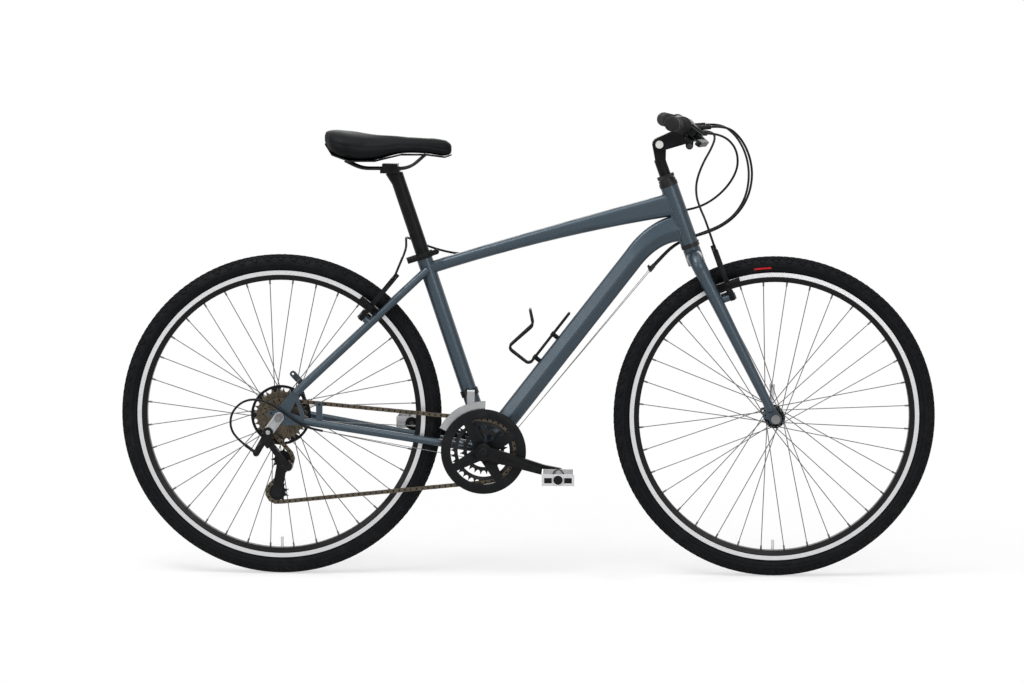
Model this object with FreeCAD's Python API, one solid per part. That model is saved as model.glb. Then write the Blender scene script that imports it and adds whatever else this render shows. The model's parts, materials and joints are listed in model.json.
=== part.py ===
"""Hybrid bike: one STEP file per sub-part, in millimetres.

The frame has +X forward, +Y to the rider's left and +Z up. The origin is on the ground, midway between the axles.
The drive side is at -Y. Every length below is named, and the rest is worked out from these names.
"""
import FreeCAD, Part
import math
import os

os.makedirs("parts", exist_ok=True)

# Overall layout
WHEEL_BASE = 1082.0
RIM_RADIUS = 317.5
TYRE_RISE = 34.5
TYRE_RADIUS = RIM_RADIUS + TYRE_RISE
CHAIN_STAY_LENGTH = 452.0
BRACKET_DROP = 74.0
HEAD_ANGLE = 70.0
SEAT_ANGLE = 71.3
FORK_RAKE = 47.0
SEAT_TUBE_SET_FORWARD = 9.0

# Fits and working gaps
OVERRUN = 20.0
RUNNING_GAP = 0.3
TURN_FIT = 0.06
SLIDE_FIT = 0.1
WELD_GAP = 0.02

# Frame tubes
HEAD_TUBE_RADIUS = 19.5
HEAD_TUBE_BORE = 17.0
HEAD_TUBE_LENGTH = 133.0
CROWN_RACE_HEIGHT = 409.0
LOWER_STACK = 12.0
SEAT_TUBE_RADIUS = 17.45
SEAT_TUBE_LENGTH = 452.0
SEAT_POST_RADIUS = 15.45
TUBE_WALL = 1.8
TOP_TUBE_SEAT_HEIGHT = 415.0
TOP_TUBE_HEAD_DROP = 41.0
TOP_TUBE_ARCH = 7.0
TOP_TUBE_SEAT_SIZE = 27.0
TOP_TUBE_MID_SIZE = 29.0
TOP_TUBE_HEAD_SIZE = 52.0
TOP_TUBE_WIDTH = 31.0
TOP_TUBE_CORNER = 12.0
DOWN_TUBE_ANGLE = 52.3
DOWN_TUBE_SIZE = 46.0
DOWN_TUBE_WIDTH = 44.0
DOWN_TUBE_HEAD_SIZE = 60.0
DOWN_TUBE_HEAD_WIDTH = 37.0
DOWN_TUBE_STRAIGHT = 535.0
DOWN_TUBE_HEAD_RISE = 36.0
TUBE_CORNER = 9.0
SHELL_RADIUS = 21.0
SHELL_WIDTH = 68.0
SHELL_BORE = 17.3

# Rear triangle
REAR_SPACING = 130.0
DROPOUT_THICKNESS = 6.0
STAY_RADIUS = 8.5
STAY_WALL = 1.5
SEAT_STAY_TOP_HEIGHT = 414.0
SEAT_STAY_TOP_HALF = 20.0
SEAT_STAY_UPPER_HALF = 36.5
SEAT_STAY_MID_HALF = 44.0
SEAT_STAY_MID_SHARE = 0.42
SEAT_STAY_UPPER_SHARE = 0.78
SEAT_STAY_END_REACH = 36.0
SEAT_STAY_END_RISE = 52.0
CHAIN_STAY_FRONT_HALF = 24.0
CHAIN_STAY_MID_HALF = 36.0
CHAIN_STAY_MID_REACH = 110.0
CHAIN_STAY_END_REACH = 55.0
STAY_BEND = 90.0
EYELET_RADIUS = 2.5
EYELET_BOSS = 7.0
AXLE_RADIUS = 4.75
SLOT_GAP = 0.15

# Fork
BLADE_TOP_RADIUS = 15.5
BLADE_FOOT_RADIUS = 9.5
BLADE_TOP_HALF = 45.0
BLADE_FOOT_HALF = 58.0
BLADE_FOOT_CUT = 26.0
CROWN_BELOW_RACE = 20.0
CROWN_RADIUS = 19.0
STEERER_RADIUS = 14.3
STEERER_BORE = 12.75
FRONT_SPACING = 100.0

# Headset, stem and handlebar
CUP_RADIUS = 20.5
CUP_HEIGHT = 9.0
BALL_RADIUS = 1.9
BALL_CIRCLE = 16.3
BALL_SEAT = 18.3
BALL_SEAT_DEPTH = 5.0
BALLS_PER_RACE = 18
RACE_RING_HEIGHT = 7.0
LOCKNUT_RADIUS = 19.0
LOCKNUT_HEIGHT = 8.0
WASHER_HEIGHT = 2.0
QUILL_RADIUS = 12.6
QUILL_DEPTH = 80.0
STEM_PIVOT_RISE = 67.0
STEM_PIVOT_FORWARD = 10.0
STEM_KNUCKLE_RADIUS = 15.0
STEM_LUG_HALF = 11.0
STEM_EAR = 7.0
STEM_BOLT_RADIUS = 4.0
STEM_BOLT_HEAD = 8.5
STEM_BOLT_HEAD_HEIGHT = 5.0
STEM_REACH = 66.0
STEM_RISE = 25.0
STEM_TILTS = (-16.0, -8.0, 0.0, 8.0, 16.0)
BAR_CLAMP_RADIUS = 20.0
BAR_CENTRE_RADIUS = 12.7
BAR_RADIUS = 11.1
BAR_WALL = 1.8
BAR_CENTRE_HALF = 48.0
BAR_HALF = 305.0
BAR_KNEE_HALF = 118.0
BAR_KNEE_RISE = 17.0
BAR_KNEE_BACK = 7.0
BAR_END_RISE = 25.0
BAR_END_BACK = 48.0
BAR_BEND = 55.0
GRIP_RADIUS = 16.0
GRIP_LENGTH = 128.0
GRIP_FLANGE = 3.0
GRIP_FLANGE_WIDTH = 5.0
GRIP_CAP = 4.0

# Controls
POD_CLAMP_RADIUS = 16.5
POD_CLAMP_WIDTH = 16.0
POD_TILT = 36.0
POD_REACH = 36.0
POD_GRIP_GAP = 3.0
POD_DEPTH = 30.0
POD_HEIGHT = 38.0
LEVER_PIVOT_REACH = 40.0
LEVER_OFFSET = 62.0
LEVER_LENGTH = 128.0
LEVER_RADIUS = 6.0
LEVER_RELIEF = 3.0
LEVER_PIN_RADIUS = 3.0
SHIFT_LEVER_LENGTH = 42.0
SHIFT_LEVER_RADIUS = 6.0
LEVER_RELIEF = 3.0
SHIFT_LEVER_THICKNESS = 5.0
SHIFT_PIN_RADIUS = 2.5

# Cables
HOUSING_RADIUS = 2.5
WIRE_RADIUS = 0.8
BOOT_RADIUS = 4.0
BOOT_LENGTH = 30.0
FRONT_BRAKE_ROUTE = [
    (381.9, 143.5, 974.3), (404, 121.5, 973.9), (412, 92, 962), (402, 62, 938), (382, 34, 906),
        (367, 12, 868),
    (366, -8, 836), (374, -28, 810), (384.2, -47.1, 787.6), (390.7, -54.7, 768.4),
]
REAR_BRAKE_ROUTE = [
    (381.9, -143.5, 974.3), (404, -121.5, 973.9), (434, -93, 960), (453, -62, 932), (455, -30, 893),
        (431, 0, 850),
    (390, 18, 816), (345, 26, 802), (300, 25, 799), (262, 21, 797), (190, 20.5, 783), (118, 20.5, 765),
    (46, 20.5, 745.6), (-26, 20.5, 725.2), (-98, 21, 704), (-160, 26, 705), (-213, 31, 718),
    (-252, 27, 735), (-268, 2, 743), (-266, -28, 738), (-264.4, -47.4, 720), (-271.9, -54.9, 701.3),
]
REAR_SHIFT_ROUTE = [
    (391.9, -138.6, 988.2), (425.1, -133.7, 990.9), (457, -118, 965), (478, -95, 925), (486, -66, 880),
    (478, -36, 833), (456, -8, 795), (424, 14, 768), (388, 25, 752), (352, 27, 742), (318, 20, 727),
    (291, 6, 702), (268, -5, 678),
]
FRONT_SHIFT_ROUTE = [
    (391.9, 138.6, 988.2), (425.1, 133.7, 990.9), (458, 120, 966), (480, 102, 926), (487, 80, 880),
        (479, 58, 833),
    (456, 42, 795), (424, 35, 770), (388, 34, 755), (352, 35, 742), (319, 29, 724), (293, 18, 699),
        (270, 7, 674),
]
TAIL_SHIFT_ROUTE = [
    (-446, -66, 322), (-482, -77, 330), (-514, -84, 352), (-545, -86, 376), (-582, -80.8, 393),
    (-618, -75.8, 389), (-644, -73.5, 364), (-648, -75, 332), (-634, -78.8, 307.2), (-614.4, -80.3, 292.4),
]
WIRE_GAP = 6.0
STAY_WIRE_START = (-110.0, -22.0, 256.0)
STAY_WIRE_END = (-445.7, -65.9, 321.9)
CAGE_WIRE_START = (-119.0, -10.0, 255.0)
CAGE_WIRE_END = (-134.0, -20.0, 400.0)

# Wheels
RIM_DEPTH = 21.5
RIM_INNER_RADIUS = RIM_RADIUS - RIM_DEPTH
RIM_HALF = 12.5
RIM_FOOT_HALF = 8.5
RIM_WALL = 1.8
BRAKE_TRACK = 12.0
BEAD_DEPTH = 6.0
TYRE_HALF = 21.0
TYRE_WALL = 4.0
SPOKE_COUNT = 36
SPOKE_RADIUS = 1.0
SPOKE_CROSSES = 3
NIPPLE_RADIUS = 2.0
NIPPLE_LENGTH = 12.0
NIPPLE_OUT = 9.0
TUBE_RING_RADIUS = 12.5
TUBE_RING_WALL = 1.2
VALVE_RADIUS = 3.0
VALVE_LENGTH = 52.0
FRONT_FLANGE_HALF = 33.0
REAR_FLANGE_LEFT = 34.0
REAR_FLANGE_RIGHT = 14.5
FLANGE_RADIUS = 22.5
FLANGE_THICKNESS = 3.2
FLANGE_HOLE_INSET = 3.6
HUB_BODY_RADIUS = 14.0
HUB_BORE = 8.2
CUP_BORE = 11.2
CONE_RADIUS = 6.4
WHEEL_BALL_RADIUS = 2.35
WHEEL_BALLS = 9
LOCKNUT_FLAT = 8.0
AXLE_NUT_RADIUS = 10.0
AXLE_NUT_WIDTH = 9.0
AXLE_TAIL = 3.0
PROTECTOR_RADIUS = 66.0
PROTECTOR_THICKNESS = 2.0
PROTECTOR_OFFSET = 21.3
PROTECTOR_SLOTS = 9
PROTECTOR_SLOT_RADIUS = 6.0

# Brakes
STUD_RADIUS = 4.0
STUD_BOSS_RADIUS = 7.5
STUD_HEAD = 3.0
STUD_DISTANCE = 283.0
STUD_HALF = 41.0
FRONT_BRAKE_ANGLE = 110.0
REAR_BRAKE_ANGLE = 50.5
FRONT_STUD_STAND = 33.0
REAR_STUD_STAND = 22.0
BRAKE_ARM_LENGTH = 102.0
BRAKE_ARM_THICKNESS = 11.0
BRAKE_BOSS_RADIUS = 9.0
BRAKE_TIP_RADIUS = 6.0
PAD_CIRCLE = 311.2
PAD_LENGTH = 58.0
PAD_HEIGHT = 9.0
PAD_THICKNESS = 9.0
PAD_GAP = 2.2
PAD_POST_RADIUS = 3.0
PAD_NUT_RADIUS = 5.5
NOODLE_RADIUS = 2.6
NOODLE_BEND = 22.0
NOODLE_RISE = 26.0

# Drive
CHAIN_PITCH = 12.7
CHAIN_LINE = 47.0
RING_STEP = 7.5
RING_TEETH = (42, 34, 24)
RING_THICKNESS = 2.0
RING_BAND = 12.0
COG_TEETH = (14, 16, 18, 20, 22, 24, 28)
COG_IN_USE = 2
COG_STEP = 5.0
COG_THICKNESS = 1.9
FREEWHEEL_CORE = 15.5
PULLEY_TEETH = 11
PULLEY_THICKNESS = 2.2
PULLEY_BUSH_HALF = 3.4
PULLEY_BUSH_RADIUS = 6.0
ROLLER_RADIUS = 3.85
PIN_RADIUS = 1.75
LINK_PLATE = 1.0
LINK_HEIGHT = 8.4
LINK_INNER_GAP = 2.6
TOOTH_TIP = 3.7
TOOTH_TIP_WIDTH = 1.2
TOOTH_FLANK_GAP = 0.95
PULLEY_TOOTH_SLACK = 0.4
TOOTH_ROOT_SHARE = 0.6
RING_BOLT_CIRCLE = 52.0
RING_BOLT_RADIUS = 4.0
INNER_BOLT_CIRCLE = 32.0
RING_TAB_RADIUS = 8.5
SPIDER_THICKNESS = 4.5
GUARD_RADIUS = 93.0
GUARD_BAND = 21.0
GUARD_THICKNESS = 3.0
GUARD_OFFSET = 60.5
SPIDER_ARMS = 4
SPIDER_WIDTH = 16.0
CRANK_LENGTH = 170.0
CRANK_ANGLE = -16.0
CRANK_FACE = 68.0
CRANK_THICKNESS = 13.0
CRANK_BOSS_RADIUS = 19.0
CRANK_EYE_RADIUS = 14.0
CRANK_WAIST = 11.0
SPINDLE_RADIUS = 8.5
SPINDLE_HALF = 76.0
CARTRIDGE_GAP = 1.0
PEDAL_LENGTH = 92.0
PEDAL_DEPTH = 70.0
PEDAL_HEIGHT = 25.0
PEDAL_PLATE = 2.5
PEDAL_BARREL_RADIUS = 11.0
PEDAL_AXLE_RADIUS = 5.0
PEDAL_GAP = 6.0

# Derailleurs
HANGER_DROP = 32.0
HANGER_BACK = 23.0
HANGER_THICKNESS = 3.0
HANGER_RADIUS = 11.0
HANGER_BOLT_RADIUS = 5.0
BODY_DROP = 27.0
BODY_FORWARD = 4.0
BODY_THICKNESS = 12.0
LINK_CHEEK = 4.0
LINK_YOKE = 8.0
ADJUSTER_RADIUS = 3.5
ADJUSTER_LENGTH = 30.0
ADJUSTER_BACK = 26.0
ADJUSTER_DROP = 46.0
ADJUSTER_ANGLE = 143.0
REAR_LINK_LENGTH = 55.0
REAR_LINK_ANGLE = -51.0
LINK_PIN_RADIUS = 2.2
LINK_BAR = 3.6
LINK_SPREAD = 13.0
LINK_SIDE = 72.5
LINK_WIDTH = 12.0
LINK_SWINGS = (-18.0, -9.0, 0.0, 9.0, 18.0)
GUIDE_DROP = 94.0
GUIDE_FORWARD = 6.0
PULLEY_SPAN = 74.0
PULLEY_LEAN = 12.26
CAGE_PLATE = 1.6
CAGE_PLATE_RADIUS = 11.0
CAGE_PLATE_HALF = 4.2
CAGE_PIVOT_RADIUS = 9.0
CAGE_PIN_RADIUS = 3.0
FRONT_CLAMP_HEIGHT = 128.0
FRONT_SWING = 24.0
FRONT_PIN_RADIUS = 2.5
FRONT_SWING_LENGTH = 16.0
FRONT_CLAMP_WIDTH = 14.0
FRONT_CLAMP_BAND = 2.5
FRONT_CAGE_GAP = 3.0
FRONT_CAGE_BAND = 17.0
FRONT_CAGE_PLATE = 1.5
FRONT_CAGE_HALF = 5.5
FRONT_CAGE_START = 88.0
FRONT_CAGE_END = 152.0

# Seat
SADDLE_BACK = -443.0
SADDLE_FRONT = -168.0
SADDLE_TOP = 963.0
SADDLE_TAIL_KICK = 15.0
SADDLE_NOSE_DROP = 6.0
SADDLE_BACK_HALF = 82.0
SADDLE_MID_HALF = 34.0
SADDLE_NOSE_HALF = 22.0
SADDLE_BASE_THICKNESS = 3.0
RAIL_RADIUS = 3.5
RAIL_HALF = 22.0
RAIL_HEIGHT = 893.0
RAIL_FRONT = -225.0
RAIL_BACK = -400.0
POST_TOP = 634.0
POST_DEPTH = 120.0
POST_WALL = 2.5
CLAMP_SET_BACK = 12.0
CLAMP_LENGTH = 42.0
CLAMP_HEIGHT = 20.0
SEAT_COLLAR_HEIGHT = 14.0
SEAT_COLLAR_WALL = 4.0
COLLAR_EAR_REACH = 31.0
QUICK_LEVER_LENGTH = 62.0
QUICK_LEVER_RADIUS = 5.0
QUICK_LEVER_ROOT_SHARE = 0.72
QUICK_LEVER_FLARE = 1.0

# Bottle cage
CAGE_ROD_RADIUS = 2.6
CAGE_HALF = 12.0
BOTTLE_RADIUS = 36.5
CAGE_LENGTH = 142.0
CAGE_FOOT = 208.0
CAGE_BOLT_SPAN = 64.0
CAGE_BOLT_RADIUS = 2.5
CAGE_STAND = 13.0
CAGE_BEND = 10.0
CAGE_PLATE_THICKNESS = 3.0
CAGE_BOLT_FOOT = 228.0
CAGE_SIDE_RISE = 74.0
CAGE_TOP_RISE = 96.0

# Axes and main points
ORIGIN = FreeCAD.Vector(0, 0, 0)
ALONG_X = FreeCAD.Vector(1, 0, 0)
ALONG_Y = FreeCAD.Vector(0, 1, 0)
ALONG_Z = FreeCAD.Vector(0, 0, 1)


def unit(vector):
    """Return the vector at length one."""
    return vector * (1.0 / vector.Length)


def slope(degrees):
    """Return the direction in the middle plane at this angle above +X."""
    turn = math.radians(degrees)
    return FreeCAD.Vector(math.cos(turn), 0, math.sin(turn))


REAR_AXLE = FreeCAD.Vector(-WHEEL_BASE / 2, 0, TYRE_RADIUS)
FRONT_AXLE = FreeCAD.Vector(WHEEL_BASE / 2, 0, TYRE_RADIUS)
BRACKET = REAR_AXLE + FreeCAD.Vector(math.sqrt(CHAIN_STAY_LENGTH ** 2 - BRACKET_DROP ** 2), 0, -BRACKET_DROP)
STEER_UP = slope(180.0 - HEAD_ANGLE)
STEER_FORWARD = slope(90.0 - HEAD_ANGLE)
STEER_FOOT = FRONT_AXLE - STEER_FORWARD * FORK_RAKE
SEAT_UP = slope(180.0 - SEAT_ANGLE)
SEAT_FORWARD = slope(90.0 - SEAT_ANGLE)
SEAT_FOOT = BRACKET + SEAT_FORWARD * SEAT_TUBE_SET_FORWARD
HEAD_LOW = CROWN_RACE_HEIGHT + LOWER_STACK
HEAD_HIGH = HEAD_LOW + HEAD_TUBE_LENGTH


def steer_point(height):
    """Return the point this far up the steering axis."""
    return STEER_FOOT + STEER_UP * height


def seat_point(height):
    """Return the point this far up the seat tube's axis."""
    return SEAT_FOOT + SEAT_UP * height


def at_side(point, side):
    """Return the point moved to this distance across the bike."""
    return FreeCAD.Vector(point.x, side, point.z)


# Shape helpers
def rod(start, end, radius):
    """Return a round bar between two points."""
    return Part.makeCylinder(radius, (end - start).Length, start, end - start)


def cone(start, end, start_radius, end_radius):
    """Return a tapered round bar between two points."""
    return Part.makeCone(start_radius, end_radius, (end - start).Length, start, end - start)


def ball(centre, radius):
    """Return a ball."""
    return Part.makeSphere(radius, centre)


def disc(centre, axis, radius, width):
    """Return a disc with its middle at the centre."""
    half = unit(axis) * (width / 2)
    return rod(centre - half, centre + half, radius)


def ring(centre, axis, outer, inner, width):
    """Return a flat ring with its middle at the centre."""
    return disc(centre, axis, outer, width).cut(disc(centre, axis, inner, width + OVERRUN))


def sleeve(start, end, outer, inner):
    """Return a tube between two points."""
    run = unit(end - start) * OVERRUN
    return rod(start, end, outer).cut(rod(start - run, end + run, inner))


def block(centre, along, across, length, width, height):
    """Return a box about a centre, with its length and width along two square directions."""
    long_half = unit(along) * (length / 2)
    wide_half = unit(across) * (width / 2)
    up = unit(along.cross(across)) * height
    corner = centre - up * (1 / 2)
    points = [corner - long_half - wide_half, corner + long_half - wide_half]
    points += [corner + long_half + wide_half, corner - long_half + wide_half]
    return Part.Face(Part.makePolygon(points + points[:1])).extrude(up)


def joined(shapes):
    """Return the shapes welded into one."""
    first = shapes[0]
    return first.multiFuse(shapes[1:]).removeSplitter() if len(shapes) > 1 else first


def flank(first, second, first_radius, second_radius, normal, thickness):
    """Return the straight-sided piece between two round ends of a strap."""
    gap = second - first
    along = unit(gap)
    across = unit(normal).cross(along)
    lean = (first_radius - second_radius) / gap.Length
    rise = math.sqrt(1.0 - lean ** 2)
    sides = [along * lean + across * rise, along * lean - across * rise]
    points = [first + sides[0] * first_radius, second + sides[0] * second_radius]
    points += [second + sides[1] * second_radius, first + sides[1] * first_radius]
    shift = unit(normal) * (thickness / 2)
    face = Part.Face(Part.makePolygon([point - shift for point in points + points[:1]]))
    return face.extrude(shift * 2)


def strap(centres, radii, normal, thickness):
    """Return a flat bar with round ends and waists, centred on its own plane."""
    pieces = [disc(centre, normal, radius, thickness) for centre, radius in zip(centres, radii)]
    for index in range(len(centres) - 1):
        ends = centres[index], centres[index + 1], radii[index], radii[index + 1]
        pieces.append(flank(*ends, normal, thickness))
    return joined(pieces)


def bent_path(points, bend=None):
    """Return a path of straight runs joined by tangent arcs, its length and its tightest arc."""
    start = points[0]
    edges = []
    length = 0.0
    radii = []
    for before, corner, after in zip(points, points[1:], points[2:]):
        into = unit(corner - before)
        out = unit(after - corner)
        half_turn = into.getAngle(out) / 2
        room = 0.45 * min((corner - before).Length, (after - corner).Length)
        radius = room / math.tan(half_turn)
        radius = radius if bend is None else min(radius, bend)
        setback = radius * math.tan(half_turn)
        arc_start = corner - into * setback
        arc_end = corner + out * setback
        middle = corner + unit(out - into) * (radius / math.cos(half_turn) - radius)
        edges.append(Part.LineSegment(start, arc_start).toShape())
        edges.append(Part.Arc(arc_start, middle, arc_end).toShape())
        length += (arc_start - start).Length + 2 * radius * half_turn
        radii.append(radius)
        start = arc_end
    edges.append(Part.LineSegment(start, points[-1]).toShape())
    length += (points[-1] - start).Length
    return Part.Wire(edges), length, min(radii)


def bent_rod(points, radius, bend=None):
    """Return a round bar along straight runs joined by tangent arcs."""
    path = bent_path(points, bend)[0]
    circle = Part.Wire(Part.makeCircle(radius, points[0], points[1] - points[0]))
    return path.makePipeShell([circle], True, False)


def outline(points, corner):
    """Return a closed outline with every corner rounded."""
    edges = []
    count = len(points)
    starts = []
    for index, point in enumerate(points):
        into = unit(point - points[index - 1])
        out = unit(points[(index + 1) % count] - point)
        half_turn = into.getAngle(out) / 2
        setback = corner * math.tan(half_turn)
        middle = point + unit(out - into) * (corner / math.cos(half_turn) - corner)
        starts.append((point - into * setback, middle, point + out * setback))
    for index, (arc_start, middle, arc_end) in enumerate(starts):
        edges.append(Part.Arc(arc_start, middle, arc_end).toShape())
        edges.append(Part.LineSegment(arc_end, starts[(index + 1) % count][0]).toShape())
    return Part.Wire(edges)


def turned(profile, centre):
    """Return the solid made by turning points (out from the axis, across the bike) about a wheel's axle."""
    points = [centre + FreeCAD.Vector(out, across, 0) for out, across in profile]
    face = Part.Face(Part.makePolygon(points + points[:1]))
    return face.revolve(centre, ALONG_Y, 360)


def mirrored(shape):
    """Return the shape on the other side of the middle plane."""
    return shape.mirror(ORIGIN, ALONG_Y)


def circle_points(centre, radius, count, start=0.0):
    """Return points spaced round a centre in the wheel's plane, with their angles in degrees."""
    angles = [start + 360.0 * index / count for index in range(count)]
    return [(centre + slope(angle) * radius, angle) for angle in angles]


def save(name, shapes):
    """Write one sub-part as a STEP file."""
    whole = shapes[0] if len(shapes) == 1 else Part.makeCompound(shapes)
    whole.exportStep("parts/" + name + ".step")
    print(name, len(whole.Solids), "solids", round(whole.Volume), whole.isValid())


# Main frame
def tube_section(centre, along, width, height, shares, corner):
    """Return a rounded tube outline square to a direction, from (width share, height share) points."""
    up = unit(along).cross(ALONG_Y) * -1.0
    right = [centre + ALONG_Y * (width * across) + up * (height * rise) for across, rise in shares]
    left = [centre - ALONG_Y * (width * across) + up * (height * rise) for across, rise in reversed(shares)]
    return outline(right + left, corner)


def lofted_tube(stations, shares):
    """Return a hollow tube through (centre, along, width, height) stations."""
    outer = [tube_section(*station, shares, TUBE_CORNER) for station in stations]
    inner = [
        tube_section(centre, along, width - 2 * TUBE_WALL, height - 2 * TUBE_WALL, shares,
            TUBE_CORNER - TUBE_WALL)
        for centre, along, width, height in stations
    ]
    return Part.makeLoft(outer, True, False).cut(Part.makeLoft(inner, True, False))


DOWN_TUBE_SHARES = [(0.26, -0.5), (0.5, 0.06), (0.24, 0.5)]
TOP_TUBE_REAR = seat_point(TOP_TUBE_SEAT_HEIGHT)
TOP_TUBE_FRONT = steer_point(HEAD_HIGH - TOP_TUBE_HEAD_DROP)
DOWN_TUBE_ALONG = slope(DOWN_TUBE_ANGLE)
DOWN_TUBE_KNEE = BRACKET + DOWN_TUBE_ALONG * DOWN_TUBE_STRAIGHT
DOWN_TUBE_FRONT = steer_point(HEAD_LOW + DOWN_TUBE_HEAD_RISE)


def top_tube_point(share):
    """Return the top tube's centre at a share of its length from the seat tube."""
    arch = 4 * TOP_TUBE_ARCH * share * (1 - share)
    return TOP_TUBE_REAR + (TOP_TUBE_FRONT - TOP_TUBE_REAR) * share + ALONG_Z * arch


def top_tube_size(share):
    """Return the top tube's height at a share of its length from the seat tube."""
    mid = TOP_TUBE_SEAT_SIZE + (TOP_TUBE_MID_SIZE - TOP_TUBE_SEAT_SIZE) * share
    return mid + (TOP_TUBE_HEAD_SIZE - TOP_TUBE_MID_SIZE) * share ** 3


def top_tube_form(inset):
    """Return the top tube's arched and rounded solid, with its faces moved in by an inset."""
    chord = TOP_TUBE_FRONT - TOP_TUBE_REAR
    up = unit(chord).cross(ALONG_Y) * -1.0
    shares, half = (0.0, 0.5, 1.0), TOP_TUBE_WIDTH / 2 - inset
    above = [top_tube_point(share) + up * (top_tube_size(share) / 2 - inset) for share in shares]
    below = [top_tube_point(share) - up * (top_tube_size(share) / 2 - inset) for share in reversed(shares)]
    edges = [Part.Arc(*above).toShape(), Part.LineSegment(above[-1], below[0]).toShape()]
    edges += [Part.Arc(*below).toShape(), Part.LineSegment(below[-1], above[0]).toShape()]
    side = Part.Face(Part.Wire(edges))
    side.translate(ALONG_Y * -half)
    solid = side.extrude(ALONG_Y * (2 * half))
    long_edges = [edge for edge in solid.Edges if edge.Length > chord.Length / 2]
    return solid.makeFillet(TOP_TUBE_CORNER - inset, long_edges)


def top_tube():
    """Return the arched top tube, open at both ends."""
    return top_tube_form(0.0).cut(top_tube_form(TUBE_WALL))


def down_tube_stations():
    """Return the down tube's sections: straight from the bracket, then bent forward into the head tube."""
    level = (DOWN_TUBE_FRONT.z - DOWN_TUBE_KNEE.z) / DOWN_TUBE_ALONG.z
    corner = DOWN_TUBE_KNEE + DOWN_TUBE_ALONG * level
    stations = [(BRACKET, DOWN_TUBE_ALONG, DOWN_TUBE_WIDTH, DOWN_TUBE_SIZE)]
    for share in (0.0, 0.35, 0.7, 1.0):
        back = (corner - DOWN_TUBE_KNEE) * (1 - share)
        fore = (DOWN_TUBE_FRONT - corner) * share
        centre = DOWN_TUBE_KNEE * (1 - share) ** 2 + DOWN_TUBE_FRONT * share ** 2
        centre += corner * (2 * share * (1 - share))
        width = DOWN_TUBE_WIDTH + (DOWN_TUBE_HEAD_WIDTH - DOWN_TUBE_WIDTH) * share
        height = DOWN_TUBE_SIZE + (DOWN_TUBE_HEAD_SIZE - DOWN_TUBE_SIZE) * share
        stations.append((centre, back + fore, width, height))
    return stations


def down_tube():
    """Return the hollow down tube, straight and then bent."""
    stations = down_tube_stations()
    straight = lofted_tube(stations[:2], DOWN_TUBE_SHARES)
    return joined([straight, lofted_tube(stations[1:], DOWN_TUBE_SHARES)])


def down_tube_bend():
    """Return the bent end of the down tube as a full solid, to mitre against."""
    sections = [tube_section(*station, DOWN_TUBE_SHARES, TUBE_CORNER) for station in down_tube_stations()[1:]]
    return Part.makeLoft(sections, True, False)


def beyond(point, direction):
    """Return the point moved on by the overrun."""
    return point + unit(direction) * OVERRUN


def main_frame():
    """Return the five main tubes as separate mitred solids."""
    head_low, head_high = steer_point(HEAD_LOW), steer_point(HEAD_HIGH)
    head_solid = rod(beyond(head_low, head_low - head_high), beyond(head_high, STEER_UP), HEAD_TUBE_RADIUS)
    shell_solid = disc(BRACKET, ALONG_Y, SHELL_RADIUS, SHELL_WIDTH + OVERRUN)
    seat_low, seat_high = seat_point(0), seat_point(SEAT_TUBE_LENGTH)
    seat_solid = rod(seat_low, beyond(seat_high, SEAT_UP), SEAT_TUBE_RADIUS)
    head = sleeve(head_low, head_high, HEAD_TUBE_RADIUS, HEAD_TUBE_BORE)
    shell = ring(BRACKET, ALONG_Y, SHELL_RADIUS, SHELL_BORE, SHELL_WIDTH)
    seat = sleeve(seat_low, seat_high, SEAT_TUBE_RADIUS, SEAT_POST_RADIUS + SLIDE_FIT).cut(shell_solid)
    top = largest(top_tube().cut(head_solid).cut(seat_solid).cut(down_tube_bend()))
    down = largest(down_tube().cut(head_solid).cut(shell_solid).cut(seat_solid))
    drills = [
        rod(cage_spot(along, 0, 0), cage_spot(along, DOWN_TUBE_SIZE, 0), CAGE_BOLT_RADIUS + WELD_GAP)
        for along in cage_bolts()
    ]
    return [head, shell, largest(seat), top, down.cut(Part.makeCompound(drills))]


def largest(shape):
    """Return the largest solid of a cut shape."""
    return max(shape.Solids, key=lambda solid: solid.Volume)


# Rear frame
def seat_stay_points():
    """Return the right seat stay's corners, from the dropout up to the seat tube."""
    foot = REAR_AXLE + FreeCAD.Vector(SEAT_STAY_END_REACH, 0, SEAT_STAY_END_RISE)
    top = seat_point(SEAT_STAY_TOP_HEIGHT)
    shares = (0.0, SEAT_STAY_MID_SHARE, SEAT_STAY_UPPER_SHARE, 1.0)
    halves = ((REAR_SPACING + DROPOUT_THICKNESS) / 2, SEAT_STAY_MID_HALF, SEAT_STAY_UPPER_HALF,
        SEAT_STAY_TOP_HALF)
    return [at_side(foot + (top - foot) * share, -half) for share, half in zip(shares, halves)]


def chain_stay_points():
    """Return the right chain stay's corners, from the dropout to the bracket."""
    along = unit(BRACKET - REAR_AXLE)
    foot = at_side(REAR_AXLE + along * CHAIN_STAY_END_REACH, -(REAR_SPACING + DROPOUT_THICKNESS) / 2)
    middle = at_side(BRACKET - along * CHAIN_STAY_MID_REACH, -CHAIN_STAY_MID_HALF)
    return [foot, middle, at_side(BRACKET, -CHAIN_STAY_FRONT_HALF)]


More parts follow.
